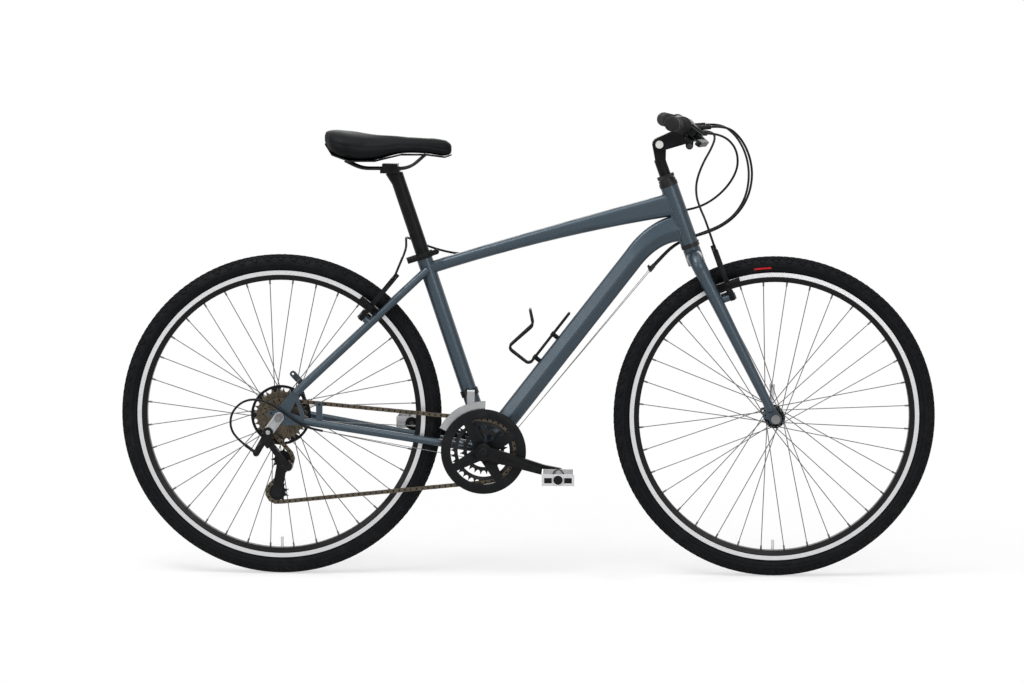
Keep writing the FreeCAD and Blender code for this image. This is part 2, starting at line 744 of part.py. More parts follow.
def dropout():
    """Return the right dropout plate with its axle slot."""
    side = -(REAR_SPACING + DROPOUT_THICKNESS) / 2
    axle = at_side(REAR_AXLE, side)
    seat_end, chain_end = seat_stay_points()[0], chain_stay_points()[0]
    wide, narrow = 2 * STAY_RADIUS, STAY_RADIUS
    plate = strap([seat_end, axle, chain_end], [narrow, wide, narrow], ALONG_Y, DROPOUT_THICKNESS)
    brace = strap([seat_end, chain_end], [narrow / 2, narrow / 2], ALONG_Y, DROPOUT_THICKNESS)
    eyelet = axle + FreeCAD.Vector(-wide, 0, wide / 2)
    boss = strap([axle, eyelet], [narrow, EYELET_BOSS], ALONG_Y, DROPOUT_THICKNESS)
    slot_radius = AXLE_RADIUS + SLOT_GAP
    slot = strap([axle, axle - ALONG_Z * (wide + OVERRUN)], [slot_radius, slot_radius], ALONG_Y, OVERRUN)
    hole = disc(eyelet, ALONG_Y, EYELET_RADIUS, OVERRUN)
    return joined([plate, brace, boss]).cut(slot).cut(hole)


def brake_frame(axle, angle):
    """Return the direction out to the brake, and the way its stud points, for a brake at this angle."""
    out = slope(angle)
    point = FreeCAD.Vector(out.z, 0, -out.x)
    return out, point if axle.x > 0 else point * -1.0


def stud(axle, angle, stand):
    """Return the right brake stud, with its boss and retaining head, welded to a stay or blade."""
    out, point = brake_frame(axle, angle)
    middle = at_side(axle + out * STUD_DISTANCE, -STUD_HALF)
    half = BRAKE_ARM_THICKNESS / 2 + RUNNING_GAP
    boss = rod(middle - point * stand, middle - point * half, STUD_BOSS_RADIUS)
    pin = rod(middle - point * stand, middle + point * (half + STUD_HEAD), STUD_RADIUS)
    head = rod(middle + point * half, middle + point * (half + STUD_HEAD), STUD_BOSS_RADIUS)
    return joined([boss, pin, head])


def rack_tab(foot, tip):
    """Return a flat accessory tab with a hole, standing on a stay."""
    tab = strap([foot, tip], [EYELET_BOSS, EYELET_BOSS], ALONG_Y, DROPOUT_THICKNESS)
    return tab.cut(disc(tip, ALONG_Y, EYELET_RADIUS, OVERRUN))


def rear_frame():
    """Return the welded stays, dropouts, bridge, studs and tabs as one solid."""
    seat_points, chain_points = seat_stay_points(), chain_stay_points()
    seat_stay = bent_rod(seat_points, STAY_RADIUS, STAY_BEND)
    chain_stay = bent_rod(chain_points, STAY_RADIUS, STAY_BEND)
    half = joined([seat_stay, chain_stay, dropout(), stud(REAR_AXLE, REAR_BRAKE_ANGLE, REAR_STUD_STAND)])
    bridge_share = (SEAT_STAY_UPPER_SHARE + 1.0) / 2
    bridge_centre = at_side(seat_points[2] + (seat_points[3] - seat_points[2]) * bridge_share, 0)
    bridge = disc(bridge_centre, ALONG_Y, STAY_RADIUS / 2, 2 * SEAT_STAY_TOP_HALF)
    chain_bridge_centre = at_side(chain_points[1] + (chain_points[2] - chain_points[1]) / 2, 0)
    chain_bridge = disc(chain_bridge_centre, ALONG_Y, STAY_RADIUS / 2, 2 * CHAIN_STAY_FRONT_HALF)
    seat_along = unit(seat_points[1] - seat_points[0])
    back = FreeCAD.Vector(-seat_along.z, 0, seat_along.x)
    left_foot = FreeCAD.Vector(seat_points[0].x, -seat_points[0].y,
        seat_points[0].z) + seat_along * STAY_RADIUS
    left_foot = at_side(left_foot, REAR_SPACING / 2)
    left_tab = rack_tab(left_foot, left_foot + back * (4 * STAY_RADIUS))
    right_foot = chain_points[0] + unit(chain_points[1] - chain_points[0]) * (4 * STAY_RADIUS)
    right_tab = rack_tab(right_foot, right_foot + ALONG_Z * (5 * STAY_RADIUS))
    whole = joined([half, mirrored(half), bridge, chain_bridge, left_tab, right_tab])
    for points in (seat_points, chain_points):
        bore = bent_rod(points, STAY_RADIUS - STAY_WALL, STAY_BEND)
        bore = bore.cut(disc(at_side(REAR_AXLE, points[0].y), ALONG_Y, CHAIN_STAY_END_REACH + OVERRUN,
            OVERRUN))
        whole = whole.cut(bore).cut(mirrored(bore))
    seat_solid = rod(seat_point(0), beyond(seat_point(SEAT_TUBE_LENGTH), SEAT_UP), SEAT_TUBE_RADIUS)
    shell_solid = disc(BRACKET, ALONG_Y, SHELL_RADIUS, SHELL_WIDTH + OVERRUN)
    return [largest(whole.cut(seat_solid).cut(shell_solid).cut(down_tube_envelope()))]


def down_tube_envelope():
    """Return the straight part of the down tube as a full solid, to mitre against."""
    stations = [(BRACKET, DOWN_TUBE_ALONG, DOWN_TUBE_WIDTH, DOWN_TUBE_SIZE)]
    stations.append((DOWN_TUBE_KNEE, DOWN_TUBE_ALONG, DOWN_TUBE_WIDTH, DOWN_TUBE_SIZE))
    return Part.makeLoft([tube_section(*station, DOWN_TUBE_SHARES, TUBE_CORNER) for station in stations],
        True, False)


# Fork and headset
CROWN = steer_point(CROWN_RACE_HEIGHT - CROWN_BELOW_RACE)
BLADE_DOWN = unit(FRONT_AXLE - CROWN)
SHOULDER_END_SHARE = 1.9
BLADE_SEAM_SHARE = 2.4


def blade():
    """Return the right half of the fork: shoulder, blade and dropout."""
    shoulder = [
        (0.0, 0.0, 0.0, 1.1),
        (0.55, 0.12, 24.0, 1.1),
        (0.9, 0.75, 62.0, 1.05),
        (1.0, SHOULDER_END_SHARE, 90.0, 1.0),
    ]
    wires = []
    for across, down, turn, girth in shoulder:
        centre = at_side(CROWN, -BLADE_TOP_HALF * across) + BLADE_DOWN * (BLADE_TOP_RADIUS * down)
        angle = math.radians(turn)
        normal = BLADE_DOWN * math.sin(angle) - ALONG_Y * math.cos(angle)
        wires.append(Part.Wire(Part.makeCircle(BLADE_TOP_RADIUS * girth, centre, normal)))
    top = at_side(CROWN, -BLADE_TOP_HALF) + BLADE_DOWN * (BLADE_TOP_RADIUS * shoulder[-1][1])
    foot = at_side(FRONT_AXLE, -BLADE_FOOT_HALF) - BLADE_DOWN * BLADE_FOOT_CUT
    leg = cone(top, foot, BLADE_TOP_RADIUS, BLADE_FOOT_RADIUS)
    return joined([Part.makeLoft(wires, True, False), leg, ball(foot, BLADE_FOOT_RADIUS), fork_dropout(foot)])


def fork_dropout(foot):
    """Return the right fork dropout with its slot and threaded eyelet."""
    side = -(FRONT_SPACING + DROPOUT_THICKNESS) / 2
    axle = at_side(FRONT_AXLE, side)
    top = at_side(foot, side)
    plate = strap([top, axle], [BLADE_FOOT_RADIUS, 2 * EYELET_BOSS], ALONG_Y, DROPOUT_THICKNESS)
    eyelet = axle + FreeCAD.Vector(-3 * EYELET_BOSS, 0, EYELET_BOSS)
    boss = strap([axle, eyelet], [EYELET_BOSS, EYELET_BOSS], ALONG_Y, DROPOUT_THICKNESS)
    slot_radius = AXLE_RADIUS + SLOT_GAP
    slot = strap([axle, axle - ALONG_Z * (2 * OVERRUN)], [slot_radius, slot_radius], ALONG_Y, OVERRUN)
    return joined([plate, boss]).cut(slot).cut(disc(eyelet, ALONG_Y, EYELET_RADIUS, OVERRUN))


STEERER_TOP = HEAD_HIGH + CUP_HEIGHT + RACE_RING_HEIGHT + WASHER_HEIGHT + LOCKNUT_HEIGHT
STEM_PIVOT_HEIGHT = STEERER_TOP + STEM_PIVOT_RISE


def fork():
    """Return the fork: the steerer with its crown, and two blades with dropouts and brake studs."""
    half = joined([blade(), stud(FRONT_AXLE, FRONT_BRAKE_ANGLE, FRONT_STUD_STAND)])
    race_top = HEAD_LOW - CUP_HEIGHT + BALL_RADIUS / 10
    crown = rod(CROWN - STEER_UP * BLADE_TOP_RADIUS, steer_point(CROWN_RACE_HEIGHT), CROWN_RADIUS)
    race = rod(steer_point(CROWN_RACE_HEIGHT), steer_point(race_top), BALL_SEAT - RUNNING_GAP)
    steerer = rod(CROWN, steer_point(STEERER_TOP), STEERER_RADIUS)
    bore = rod(steer_point(HEAD_LOW), steer_point(STEERER_TOP + OVERRUN), STEERER_BORE)
    whole = joined([half, mirrored(half), crown, race, steerer]).cut(bore)
    seam = CROWN + BLADE_DOWN * (BLADE_TOP_RADIUS * BLADE_SEAM_SHARE)
    below = rod(seam, seam + BLADE_DOWN * (2 * TYRE_RADIUS), 2 * FRONT_SPACING)
    return [largest(whole.cut(below))] + whole.common(below).Solids


def cup(mouth, face, side):
    """Return one pressed cup with its spigot in the head tube; side is the way it opens."""
    body = rod(face, mouth, CUP_RADIUS)
    spigot = rod(face, face - side * CUP_HEIGHT, HEAD_TUBE_BORE - WELD_GAP)
    seat = rod(mouth - side * BALL_SEAT_DEPTH, mouth + side * OVERRUN, BALL_SEAT)
    bore = rod(face - side * (CUP_HEIGHT + OVERRUN), mouth + side * OVERRUN, STEERER_RADIUS + RUNNING_GAP)
    return joined([body, spigot]).cut(seat).cut(bore)


def ball_ring(centre):
    """Return a ring of headset balls about the steering axis."""
    balls = []
    for index in range(BALLS_PER_RACE):
        angle = 2 * math.pi * index / BALLS_PER_RACE
        spot = STEER_FORWARD * math.cos(angle) + ALONG_Y * math.sin(angle)
        balls.append(ball(centre + spot * BALL_CIRCLE, BALL_RADIUS))
    return balls


def headset_bearings():
    """Return both cups with their balls."""
    low_face, high_face = steer_point(HEAD_LOW), steer_point(HEAD_HIGH)
    low = cup(low_face - STEER_UP * CUP_HEIGHT, low_face, STEER_UP * -1.0)
    high = cup(high_face + STEER_UP * CUP_HEIGHT, high_face, STEER_UP)
    lift = BALL_RADIUS * 1.2
    low_balls = ball_ring(low_face - STEER_UP * (CUP_HEIGHT - lift))
    return [low, high] + low_balls + ball_ring(high_face + STEER_UP * (CUP_HEIGHT - lift))


def headset_locknuts():
    """Return the screwed race, the washer and the six-sided locknut."""
    bore = STEERER_RADIUS + WELD_GAP
    base = HEAD_HIGH + CUP_HEIGHT
    skirt_low = base - BALL_RADIUS / 10
    skirt = sleeve(steer_point(skirt_low), steer_point(base + RUNNING_GAP), BALL_SEAT - RUNNING_GAP, bore)
    race = sleeve(steer_point(base + RUNNING_GAP), steer_point(base + RACE_RING_HEIGHT), LOCKNUT_RADIUS, bore)
    washer_low = base + RACE_RING_HEIGHT
    nut_low = washer_low + WASHER_HEIGHT
    washer = sleeve(steer_point(washer_low), steer_point(nut_low), LOCKNUT_RADIUS - WASHER_HEIGHT, bore)
    nut = six_sided(steer_point(nut_low), STEER_UP, STEER_FORWARD, LOCKNUT_RADIUS, LOCKNUT_HEIGHT)
    nut = nut.cut(rod(steer_point(nut_low - OVERRUN), steer_point(STEERER_TOP + OVERRUN), bore))
    return [joined([skirt, race]), washer, nut]


def six_sided(base, axis, first, radius, height):
    """Return a six-sided bar standing on a base point."""
    second = axis.cross(first)
    angles = [math.pi * index / 3 for index in range(6)]
    points = [base + (first * math.cos(angle) + second * math.sin(angle)) * radius for angle in angles]
    return Part.Face(Part.makePolygon(points + points[:1])).extrude(axis * height)


# Stem and handlebar
STEM_PIVOT = steer_point(STEM_PIVOT_HEIGHT) + STEER_FORWARD * STEM_PIVOT_FORWARD
BAR = STEM_PIVOT + FreeCAD.Vector(STEM_REACH, 0, STEM_RISE)
STEM_HALF = STEM_LUG_HALF + RUNNING_GAP + STEM_EAR


def stem_quill():
    """Return the quill with the lug that carries the stem's pivot."""
    top = STEM_PIVOT_HEIGHT - 2 * STEM_KNUCKLE_RADIUS
    quill = rod(steer_point(STEERER_TOP - QUILL_DEPTH), steer_point(top), QUILL_RADIUS)
    neck_foot = steer_point(top - STEM_KNUCKLE_RADIUS / 2)
    lug = strap([neck_foot, STEM_PIVOT], [STEM_LUG_HALF, STEM_KNUCKLE_RADIUS], ALONG_Y, 2 * STEM_LUG_HALF)
    quill = joined([quill, lug])
    return [quill.cut(disc(STEM_PIVOT, ALONG_Y, STEM_BOLT_RADIUS + TURN_FIT, 2 * OVERRUN))]


def lug_room():
    """Return the space that the quill's lug needs between the stem's ears, over the tilt."""
    neck_foot = steer_point(STEM_PIVOT_HEIGHT - 2.5 * STEM_KNUCKLE_RADIUS)
    radii = [STEM_LUG_HALF + 2 * RUNNING_GAP, STEM_KNUCKLE_RADIUS + 2 * RUNNING_GAP]
    room = strap([neck_foot, STEM_PIVOT], radii, ALONG_Y, 2 * (STEM_LUG_HALF + RUNNING_GAP))
    rooms = []
    for tilt in STEM_TILTS:
        tilted = room.copy()
        tilted.rotate(STEM_PIVOT, ALONG_Y, tilt)
        rooms.append(tilted)
    return joined(rooms)


def clamp_bolt_spot():
    """Return the middle of the bolt under the handlebar clamp."""
    return BAR - ALONG_Z * (BAR_CLAMP_RADIUS + 2 * STEM_BOLT_RADIUS)


def stem_arm():
    """Return the stem's arm with two ears about the lug and the handlebar clamp."""
    radii = [STEM_KNUCKLE_RADIUS, BAR_CLAMP_RADIUS]
    arm = strap([STEM_PIVOT, BAR], radii, ALONG_Y, 2 * STEM_HALF)
    clamp = disc(BAR, ALONG_Y, BAR_CLAMP_RADIUS, 2 * STEM_HALF + STEM_EAR)
    lug = strap([BAR, clamp_bolt_spot()], [BAR_CLAMP_RADIUS / 2, 2 * STEM_BOLT_RADIUS], ALONG_Y, STEM_HALF)
    whole = joined([arm, clamp, lug])
    whole = whole.cut(lug_room())
    whole = whole.cut(disc(BAR, ALONG_Y, BAR_CENTRE_RADIUS + WELD_GAP, 4 * STEM_HALF))
    whole = whole.cut(disc(STEM_PIVOT, ALONG_Y, STEM_BOLT_RADIUS + WELD_GAP, 4 * STEM_HALF))
    return [largest(whole.cut(disc(clamp_bolt_spot(), ALONG_Y, STEM_BOLT_RADIUS + WELD_GAP, 4 * STEM_HALF)))]


def bolt(middle, half, radius, head_radius, head_height):
    """Return a bolt across the bike with a head at both ends."""
    shank = disc(middle, ALONG_Y, radius, 2 * half)
    heads = [
        disc(middle + ALONG_Y * (side * (half + head_height / 2)), ALONG_Y, head_radius, head_height)
        for side in (-1, 1)
    ]
    return joined([shank] + heads)


def stem_bolts():
    """Return the pivot bolt and the clamp bolt."""
    pivot = bolt(STEM_PIVOT, STEM_HALF, STEM_BOLT_RADIUS, STEM_BOLT_HEAD, STEM_BOLT_HEAD_HEIGHT)
    head = 1.5 * STEM_BOLT_RADIUS
    clamp = bolt(clamp_bolt_spot(), STEM_HALF / 2, STEM_BOLT_RADIUS, head, STEM_BOLT_HEAD_HEIGHT)
    return [pivot, clamp]


def bar_points():
    """Return the right half of the handlebar's centre line, from the middle to the end."""
    knee = BAR + FreeCAD.Vector(-BAR_KNEE_BACK, -BAR_KNEE_HALF, BAR_KNEE_RISE)
    end = BAR + FreeCAD.Vector(-BAR_END_BACK, -BAR_HALF, BAR_END_RISE)
    return [BAR, BAR - ALONG_Y * BAR_CENTRE_HALF, knee, end]


BAR_END = bar_points()[3]
BAR_OUT = unit(BAR_END - bar_points()[2])
LEVER_FORE = unit(slope(-POD_TILT) - BAR_OUT * slope(-POD_TILT).dot(BAR_OUT))
LEVER_UP = BAR_OUT.cross(LEVER_FORE)


def bar_spot(inward, fore=0.0, up=0.0):
    """Return a point placed from the right handlebar end: inward along it, towards the lever and up."""
    return BAR_END - BAR_OUT * inward + LEVER_FORE * fore + LEVER_UP * up


def handlebar():
    """Return the bent handlebar tube, thicker in the stem's clamp."""
    right = bar_points()
    left = [FreeCAD.Vector(point.x, -point.y, point.z) for point in right]
    points = list(reversed(left[1:])) + right[1:]
    tube = bent_rod(points, BAR_RADIUS, BAR_BEND)
    middle = disc(BAR, ALONG_Y, BAR_CENTRE_RADIUS, 2 * STEM_HALF + 2 * STEM_EAR)
    return [joined([tube, middle]).cut(bent_rod(points, BAR_RADIUS - BAR_WALL, BAR_BEND))]


def handlebar_grips():
    """Return both grips, with a flange at the inner end and a cap at the outer one."""
    body = rod(bar_spot(-GRIP_CAP), bar_spot(GRIP_LENGTH), GRIP_RADIUS)
    flange = rod(bar_spot(GRIP_LENGTH - GRIP_FLANGE_WIDTH), bar_spot(GRIP_LENGTH), GRIP_RADIUS + GRIP_FLANGE)
    grip = joined([body, flange]).cut(rod(bar_spot(0), bar_spot(GRIP_LENGTH + OVERRUN),
        BAR_RADIUS + WELD_GAP))
    return [grip, mirrored(grip)]


# Wheels
def rim(centre):
    """Return a double-walled rim with holes for the nipples and the valve."""
    edge, track = RIM_RADIUS, RIM_RADIUS - BRAKE_TRACK
    inside, floor = RIM_HALF - RIM_WALL, RIM_RADIUS - BEAD_DEPTH
    half = [(floor, inside), (edge, inside), (edge, RIM_HALF), (track, RIM_HALF),
        (RIM_INNER_RADIUS, RIM_FOOT_HALF)]
    profile = half + [(out, -across) for out, across in reversed(half)]
    foot = RIM_INNER_RADIUS + RIM_WALL
    hollow = [(floor - RIM_WALL, inside), (track, inside), (foot, RIM_FOOT_HALF - RIM_WALL)]
    hollow += [(out, -across) for out, across in reversed(hollow)]
    return turned(profile, centre).cut(turned(hollow, centre))


def tyre(centre):
    """Return a tyre carcass, open towards the rim."""
    bead, lip = RIM_RADIUS - BEAD_DEPTH + RUNNING_GAP, RIM_RADIUS + RIM_WALL
    middle = TYRE_RADIUS - TYRE_HALF
    bead_half = RIM_HALF - RIM_WALL - RUNNING_GAP
    thin = TYRE_WALL / 2
    corner = math.sqrt(0.5)

    def spot(out, across):
        return centre + FreeCAD.Vector(out, across, 0)

    def half(sign):
        outer_turn = spot(middle + TYRE_HALF * corner, sign * TYRE_HALF * corner)
        inner_half = TYRE_HALF - TYRE_WALL
        inner_turn = spot(middle + inner_half * corner, sign * inner_half * corner)
        widest, inner_wide = spot(middle, sign * TYRE_HALF), spot(middle, sign * inner_half)
        top, inner_top = spot(TYRE_RADIUS, 0), spot(TYRE_RADIUS - TYRE_WALL, 0)
        lip_spot = spot(lip, sign * bead_half)
        inner_lip = spot(lip, sign * (bead_half - thin))
        toe, heel = spot(bead, sign * (bead_half - thin)), spot(bead, sign * bead_half)
        edges = [Part.Arc(top, outer_turn, widest).toShape(), Part.LineSegment(widest, lip_spot).toShape()]
        edges += [Part.LineSegment(lip_spot, heel).toShape(), Part.LineSegment(heel, toe).toShape()]
        edges += [Part.LineSegment(toe, inner_lip).toShape(),
            Part.LineSegment(inner_lip, inner_wide).toShape()]
        edges += [Part.Arc(inner_wide, inner_turn, inner_top).toShape(),
            Part.LineSegment(inner_top, top).toShape()]
        return Part.Face(Part.Wire(edges)).revolve(centre, ALONG_Y, 360)

    return joined([half(1), half(-1)])


def inner_tube(centre):
    """Return the inner tube ring and its valve, which comes through the rim at the bottom of the wheel."""
    middle = TYRE_RADIUS - TYRE_HALF
    tube = Part.makeTorus(middle, TUBE_RING_RADIUS, centre, ALONG_Y)
    valve_top = centre - ALONG_Z * (middle - TUBE_RING_RADIUS / 2)
    valve = rod(valve_top, valve_top + ALONG_Z * VALVE_LENGTH, VALVE_RADIUS)
    hollow = Part.makeTorus(middle, TUBE_RING_RADIUS - TUBE_RING_WALL, centre, ALONG_Y)
    return joined([tube, valve]).cut(hollow)


def spoke_lines(centre, left, right):
    """Return (hub end, rim end, flange face) for each spoke of a three-cross wheel."""
    per_flange = SPOKE_COUNT // 2
    step = 360.0 / per_flange
    hole_circle = FLANGE_RADIUS - FLANGE_HOLE_INSET
    lines = []
    for flange, sign, start in ((left, 1, 3 * step / 4), (-right, -1, step / 4)):
        for index in range(per_flange):
            outside = index % 2 == 0
            lift = FLANGE_THICKNESS / 2 + SPOKE_RADIUS * (2.6 if outside else 1.2)
            lift = lift if outside else -lift
            swing = SPOKE_CROSSES * step * (1 if outside else -1)
            angle = start + step * index
            hub_end = at_side(centre + slope(angle) * hole_circle, flange + sign * lift)
            rim_end = at_side(centre + slope(angle + swing) * RIM_INNER_RADIUS, sign * RIM_FOOT_HALF / 4)
            lines.append((hub_end, rim_end, flange - sign * math.copysign(FLANGE_THICKNESS / 2, lift)))
    return lines


def spokes(lines):
    """Return the spokes, hooked through the flanges, and their nipples."""
    shapes = []
    for hub_end, rim_end, flange_face in lines:
        along = unit(rim_end - hub_end)
        nipple_start = rim_end - along * NIPPLE_OUT
        hook = rod(at_side(hub_end, flange_face), hub_end, SPOKE_RADIUS)
        shapes.append(joined([hook, ball(hub_end, SPOKE_RADIUS), rod(hub_end, nipple_start, SPOKE_RADIUS)]))
        shapes.append(rod(nipple_start, nipple_start + along * NIPPLE_LENGTH, NIPPLE_RADIUS))
    return shapes


def drilled_rim(centre, lines):
    """Return the rim with its nipple holes and valve hole."""
    drills = []
    for hub_end, rim_end, flange_face in lines:
        along = unit(rim_end - hub_end)
        drills.append(rod(rim_end - along * NIPPLE_OUT, rim_end + along * (2 * RIM_WALL),
            NIPPLE_RADIUS + WELD_GAP))
    drills.append(rod(centre - ALONG_Z * RIM_INNER_RADIUS / 2, centre - ALONG_Z * RIM_RADIUS,
        VALVE_RADIUS + RUNNING_GAP))
    return rim(centre).cut(Part.makeCompound(drills))


def hub(centre, left, right, left_end, right_end, boss):
    """Return a hub shell with two drilled flanges and a bearing seat at each end."""
    half = FLANGE_THICKNESS / 2
    body = [rod(at_side(centre, -right_end), at_side(centre, left_end), boss)]
    body.append(rod(at_side(centre, -right), at_side(centre, left), HUB_BODY_RADIUS))
    body += [disc(at_side(centre, side), ALONG_Y, FLANGE_RADIUS, FLANGE_THICKNESS) for side in (-right, left)]
    shell = joined(body)
    seat = CUP_BORE - CONE_RADIUS
    cuts = [rod(at_side(centre, -right_end - half), at_side(centre, left_end + half), HUB_BORE)]
    cuts.append(rod(at_side(centre, -right_end - half), at_side(centre, -right_end + 2 * seat), CUP_BORE))
    cuts.append(rod(at_side(centre, left_end - 2 * seat), at_side(centre, left_end + half), CUP_BORE))
    step = 720.0 / SPOKE_COUNT
    for flange, start in ((left, 3 * step / 4), (-right, step / 4)):
        for spot, angle in circle_points(at_side(centre, flange), FLANGE_RADIUS - FLANGE_HOLE_INSET,
            SPOKE_COUNT // 2, start):
            cuts.append(disc(spot, ALONG_Y, SPOKE_RADIUS + TURN_FIT, 2 * FLANGE_THICKNESS))
    return shell.cut(Part.makeCompound(cuts))


def axle_set(centre, half_spacing, left_end, right_end, left_tail, right_tail):
    """Return an axle with two cones, two locknuts and two rings of balls."""
    shapes = [rod(at_side(centre, -right_tail), at_side(centre, left_tail), AXLE_RADIUS)]
    bore = AXLE_RADIUS + WELD_GAP
    for sign, end in ((1, left_end), (-1, right_end)):
        cone_in, cone_out = end - 2 * WHEEL_BALL_RADIUS, end + WHEEL_BALL_RADIUS
        shapes.append(sleeve(at_side(centre, sign * cone_in), at_side(centre, sign * cone_out), CONE_RADIUS,
            bore))
        shapes.append(sleeve(at_side(centre, sign * cone_out), at_side(centre, sign * half_spacing),
            LOCKNUT_FLAT, bore))
        ball_circle = (CONE_RADIUS + CUP_BORE) / 2
        row = at_side(centre, sign * (end - 1.5 * WHEEL_BALL_RADIUS))
        shapes += [ball(spot, WHEEL_BALL_RADIUS) for spot,
            angle in circle_points(row, ball_circle, WHEEL_BALLS)]
    return shapes


FRONT_HUB_END = FRONT_FLANGE_HALF + FLANGE_THICKNESS
REAR_HUB_LEFT = REAR_FLANGE_LEFT + FLANGE_THICKNESS
REAR_HUB_RIGHT = PROTECTOR_OFFSET + PROTECTOR_THICKNESS / 2
FRONT_TAIL = FRONT_SPACING / 2 + DROPOUT_THICKNESS
REAR_FACE = REAR_SPACING / 2 + DROPOUT_THICKNESS


def front_axle():
    """Return the front axle set with its quick-release nut and cam housing."""
    shapes = axle_set(FRONT_AXLE, FRONT_SPACING / 2, FRONT_HUB_END, FRONT_HUB_END, FRONT_TAIL, FRONT_TAIL)
    for sign in (-1, 1):
        face = at_side(FRONT_AXLE, sign * FRONT_TAIL)
        shapes.append(rod(face, face + ALONG_Y * (sign * AXLE_NUT_WIDTH), AXLE_NUT_RADIUS))
    return shapes


def rear_axle():
    """Return the rear axle set with its two six-sided nuts."""
    left_tail = REAR_FACE + AXLE_NUT_WIDTH + AXLE_TAIL
    right_tail = left_tail + HANGER_THICKNESS
    shapes = axle_set(REAR_AXLE, REAR_SPACING / 2, REAR_HUB_LEFT, REAR_HUB_RIGHT, left_tail, right_tail)
    for sign, face in ((1, REAR_FACE), (-1, REAR_FACE + HANGER_THICKNESS)):
        base = at_side(REAR_AXLE, sign * face)
        nut = six_sided(base, ALONG_Y * sign, ALONG_X, AXLE_NUT_RADIUS, AXLE_NUT_WIDTH)
        shapes.append(nut.cut(disc(base, ALONG_Y, AXLE_RADIUS + WELD_GAP, 2 * OVERRUN)))
    return shapes


def spoke_protector():
    """Return the slotted disc between the spokes and the largest cog."""
    middle = at_side(REAR_AXLE, -PROTECTOR_OFFSET)
    plate = ring(middle, ALONG_Y, PROTECTOR_RADIUS, HUB_BODY_RADIUS + TURN_FIT, PROTECTOR_THICKNESS)
    slots = []
    for spot, angle in circle_points(middle, PROTECTOR_RADIUS - 2 * PROTECTOR_SLOT_RADIUS, PROTECTOR_SLOTS):
        tangent = slope(angle + 90.0) * PROTECTOR_SLOT_RADIUS
        radii = [PROTECTOR_SLOT_RADIUS, PROTECTOR_SLOT_RADIUS]
        slots.append(strap([spot - tangent, spot + tangent], radii, ALONG_Y, OVERRUN))
    return [plate.cut(Part.makeCompound(slots))]


def quick_lever(pivot, along, axis, length):
    """Return a quick-release lever with its knuckle on a hinge axis."""
    knuckle = disc(pivot, axis, QUICK_LEVER_RADIUS - RUNNING_GAP, 2 * QUICK_LEVER_RADIUS)
    tip = pivot + unit(along) * length
    radii = [QUICK_LEVER_RADIUS * QUICK_LEVER_ROOT_SHARE, QUICK_LEVER_RADIUS + QUICK_LEVER_FLARE]
    return joined([knuckle, strap([pivot, tip], radii, ALONG_Y, QUICK_LEVER_RADIUS)])


# Drive
def pitch_radius(teeth):
    """Return the circle on which a sprocket carries the chain's pins."""
    return CHAIN_PITCH / (2 * math.sin(math.pi / teeth))


def toothed_disc(centre, teeth, thickness, valley_angle, slack=0.0):
    """Return a toothed disc with a tooth valley at the given angle, its teeth thinned by the slack."""
    pitch = pitch_radius(teeth)
    root = pitch - ROLLER_RADIUS - RUNNING_GAP - slack
    tip = pitch + TOOTH_TIP
    flank_half = CHAIN_PITCH / 2 - ROLLER_RADIUS - TOOTH_FLANK_GAP - slack
    root_half = TOOTH_ROOT_SHARE * CHAIN_PITCH / 2 - slack
    half_tooth = [(root, -root_half), (pitch, -flank_half), (tip, -TOOTH_TIP_WIDTH / 2)]
    tooth = half_tooth + [(out, -across) for out, across in reversed(half_tooth)]
    points = []
    for index in range(teeth):
        angle = valley_angle + 360.0 * (index + 0.5) / teeth
        along, across = slope(angle), slope(angle + 90.0)
        points += [centre + along * out + across * side for out, side in tooth]
    shift = ALONG_Y * thickness
    face = Part.Face(Part.makePolygon([point - shift / 2 for point in points + points[:1]]))
    return face.extrude(shift)


def tangent_run(first, second, first_turn, second_turn, first_radius, second_radius):
    """Return where a chain run leaves one sprocket and meets the next; turns are +1 or -1."""
    gap = second - first
    spread = second_turn * second_radius - first_turn * first_radius
    run = math.sqrt(gap.Length ** 2 - spread ** 2)
    heading = math.atan2(gap.z, gap.x) - math.atan2(spread, run)
    normal = FreeCAD.Vector(-math.sin(heading), 0, math.cos(heading))
    return first - normal * (first_turn * first_radius), second - normal * (second_turn * second_radius)


GUIDE = at_side(REAR_AXLE + FreeCAD.Vector(GUIDE_FORWARD, 0, -GUIDE_DROP), -CHAIN_LINE)
TENSION = GUIDE + FreeCAD.Vector(-PULLEY_LEAN, 0, -math.sqrt(PULLEY_SPAN ** 2 - PULLEY_LEAN ** 2))
CHAIN_WHEELS = [
    (at_side(REAR_AXLE, -CHAIN_LINE), COG_TEETH[COG_IN_USE], -1),
    (at_side(BRACKET, -CHAIN_LINE), RING_TEETH[1], -1),
    (TENSION, PULLEY_TEETH, -1),
    (GUIDE, PULLEY_TEETH, 1),
]


def chain_stretches():
    """Return the chain's loop as arcs about each sprocket, each followed by its straight run."""
    runs = []
    for index, (centre, teeth, turn) in enumerate(CHAIN_WHEELS):
        after, after_teeth, after_turn = CHAIN_WHEELS[(index + 1) % len(CHAIN_WHEELS)]
        runs.append(tangent_run(centre, after, turn, after_turn, pitch_radius(teeth),
            pitch_radius(after_teeth)))
    stretches = []
    for index, (centre, teeth, turn) in enumerate(CHAIN_WHEELS):
        arrive, leave = runs[index - 1][1] - centre, runs[index][0] - centre
        start = math.atan2(arrive.z, arrive.x)
        sweep = (turn * (math.atan2(leave.z, leave.x) - start)) % (2 * math.pi)
        stretches.append((centre, pitch_radius(teeth), turn, start, sweep, runs[index]))
    return stretches


def pitch_measure(radius):
    """Return how much chain lies on each radian of a sprocket."""
    return CHAIN_PITCH / (2 * math.asin(CHAIN_PITCH / (2 * radius)))


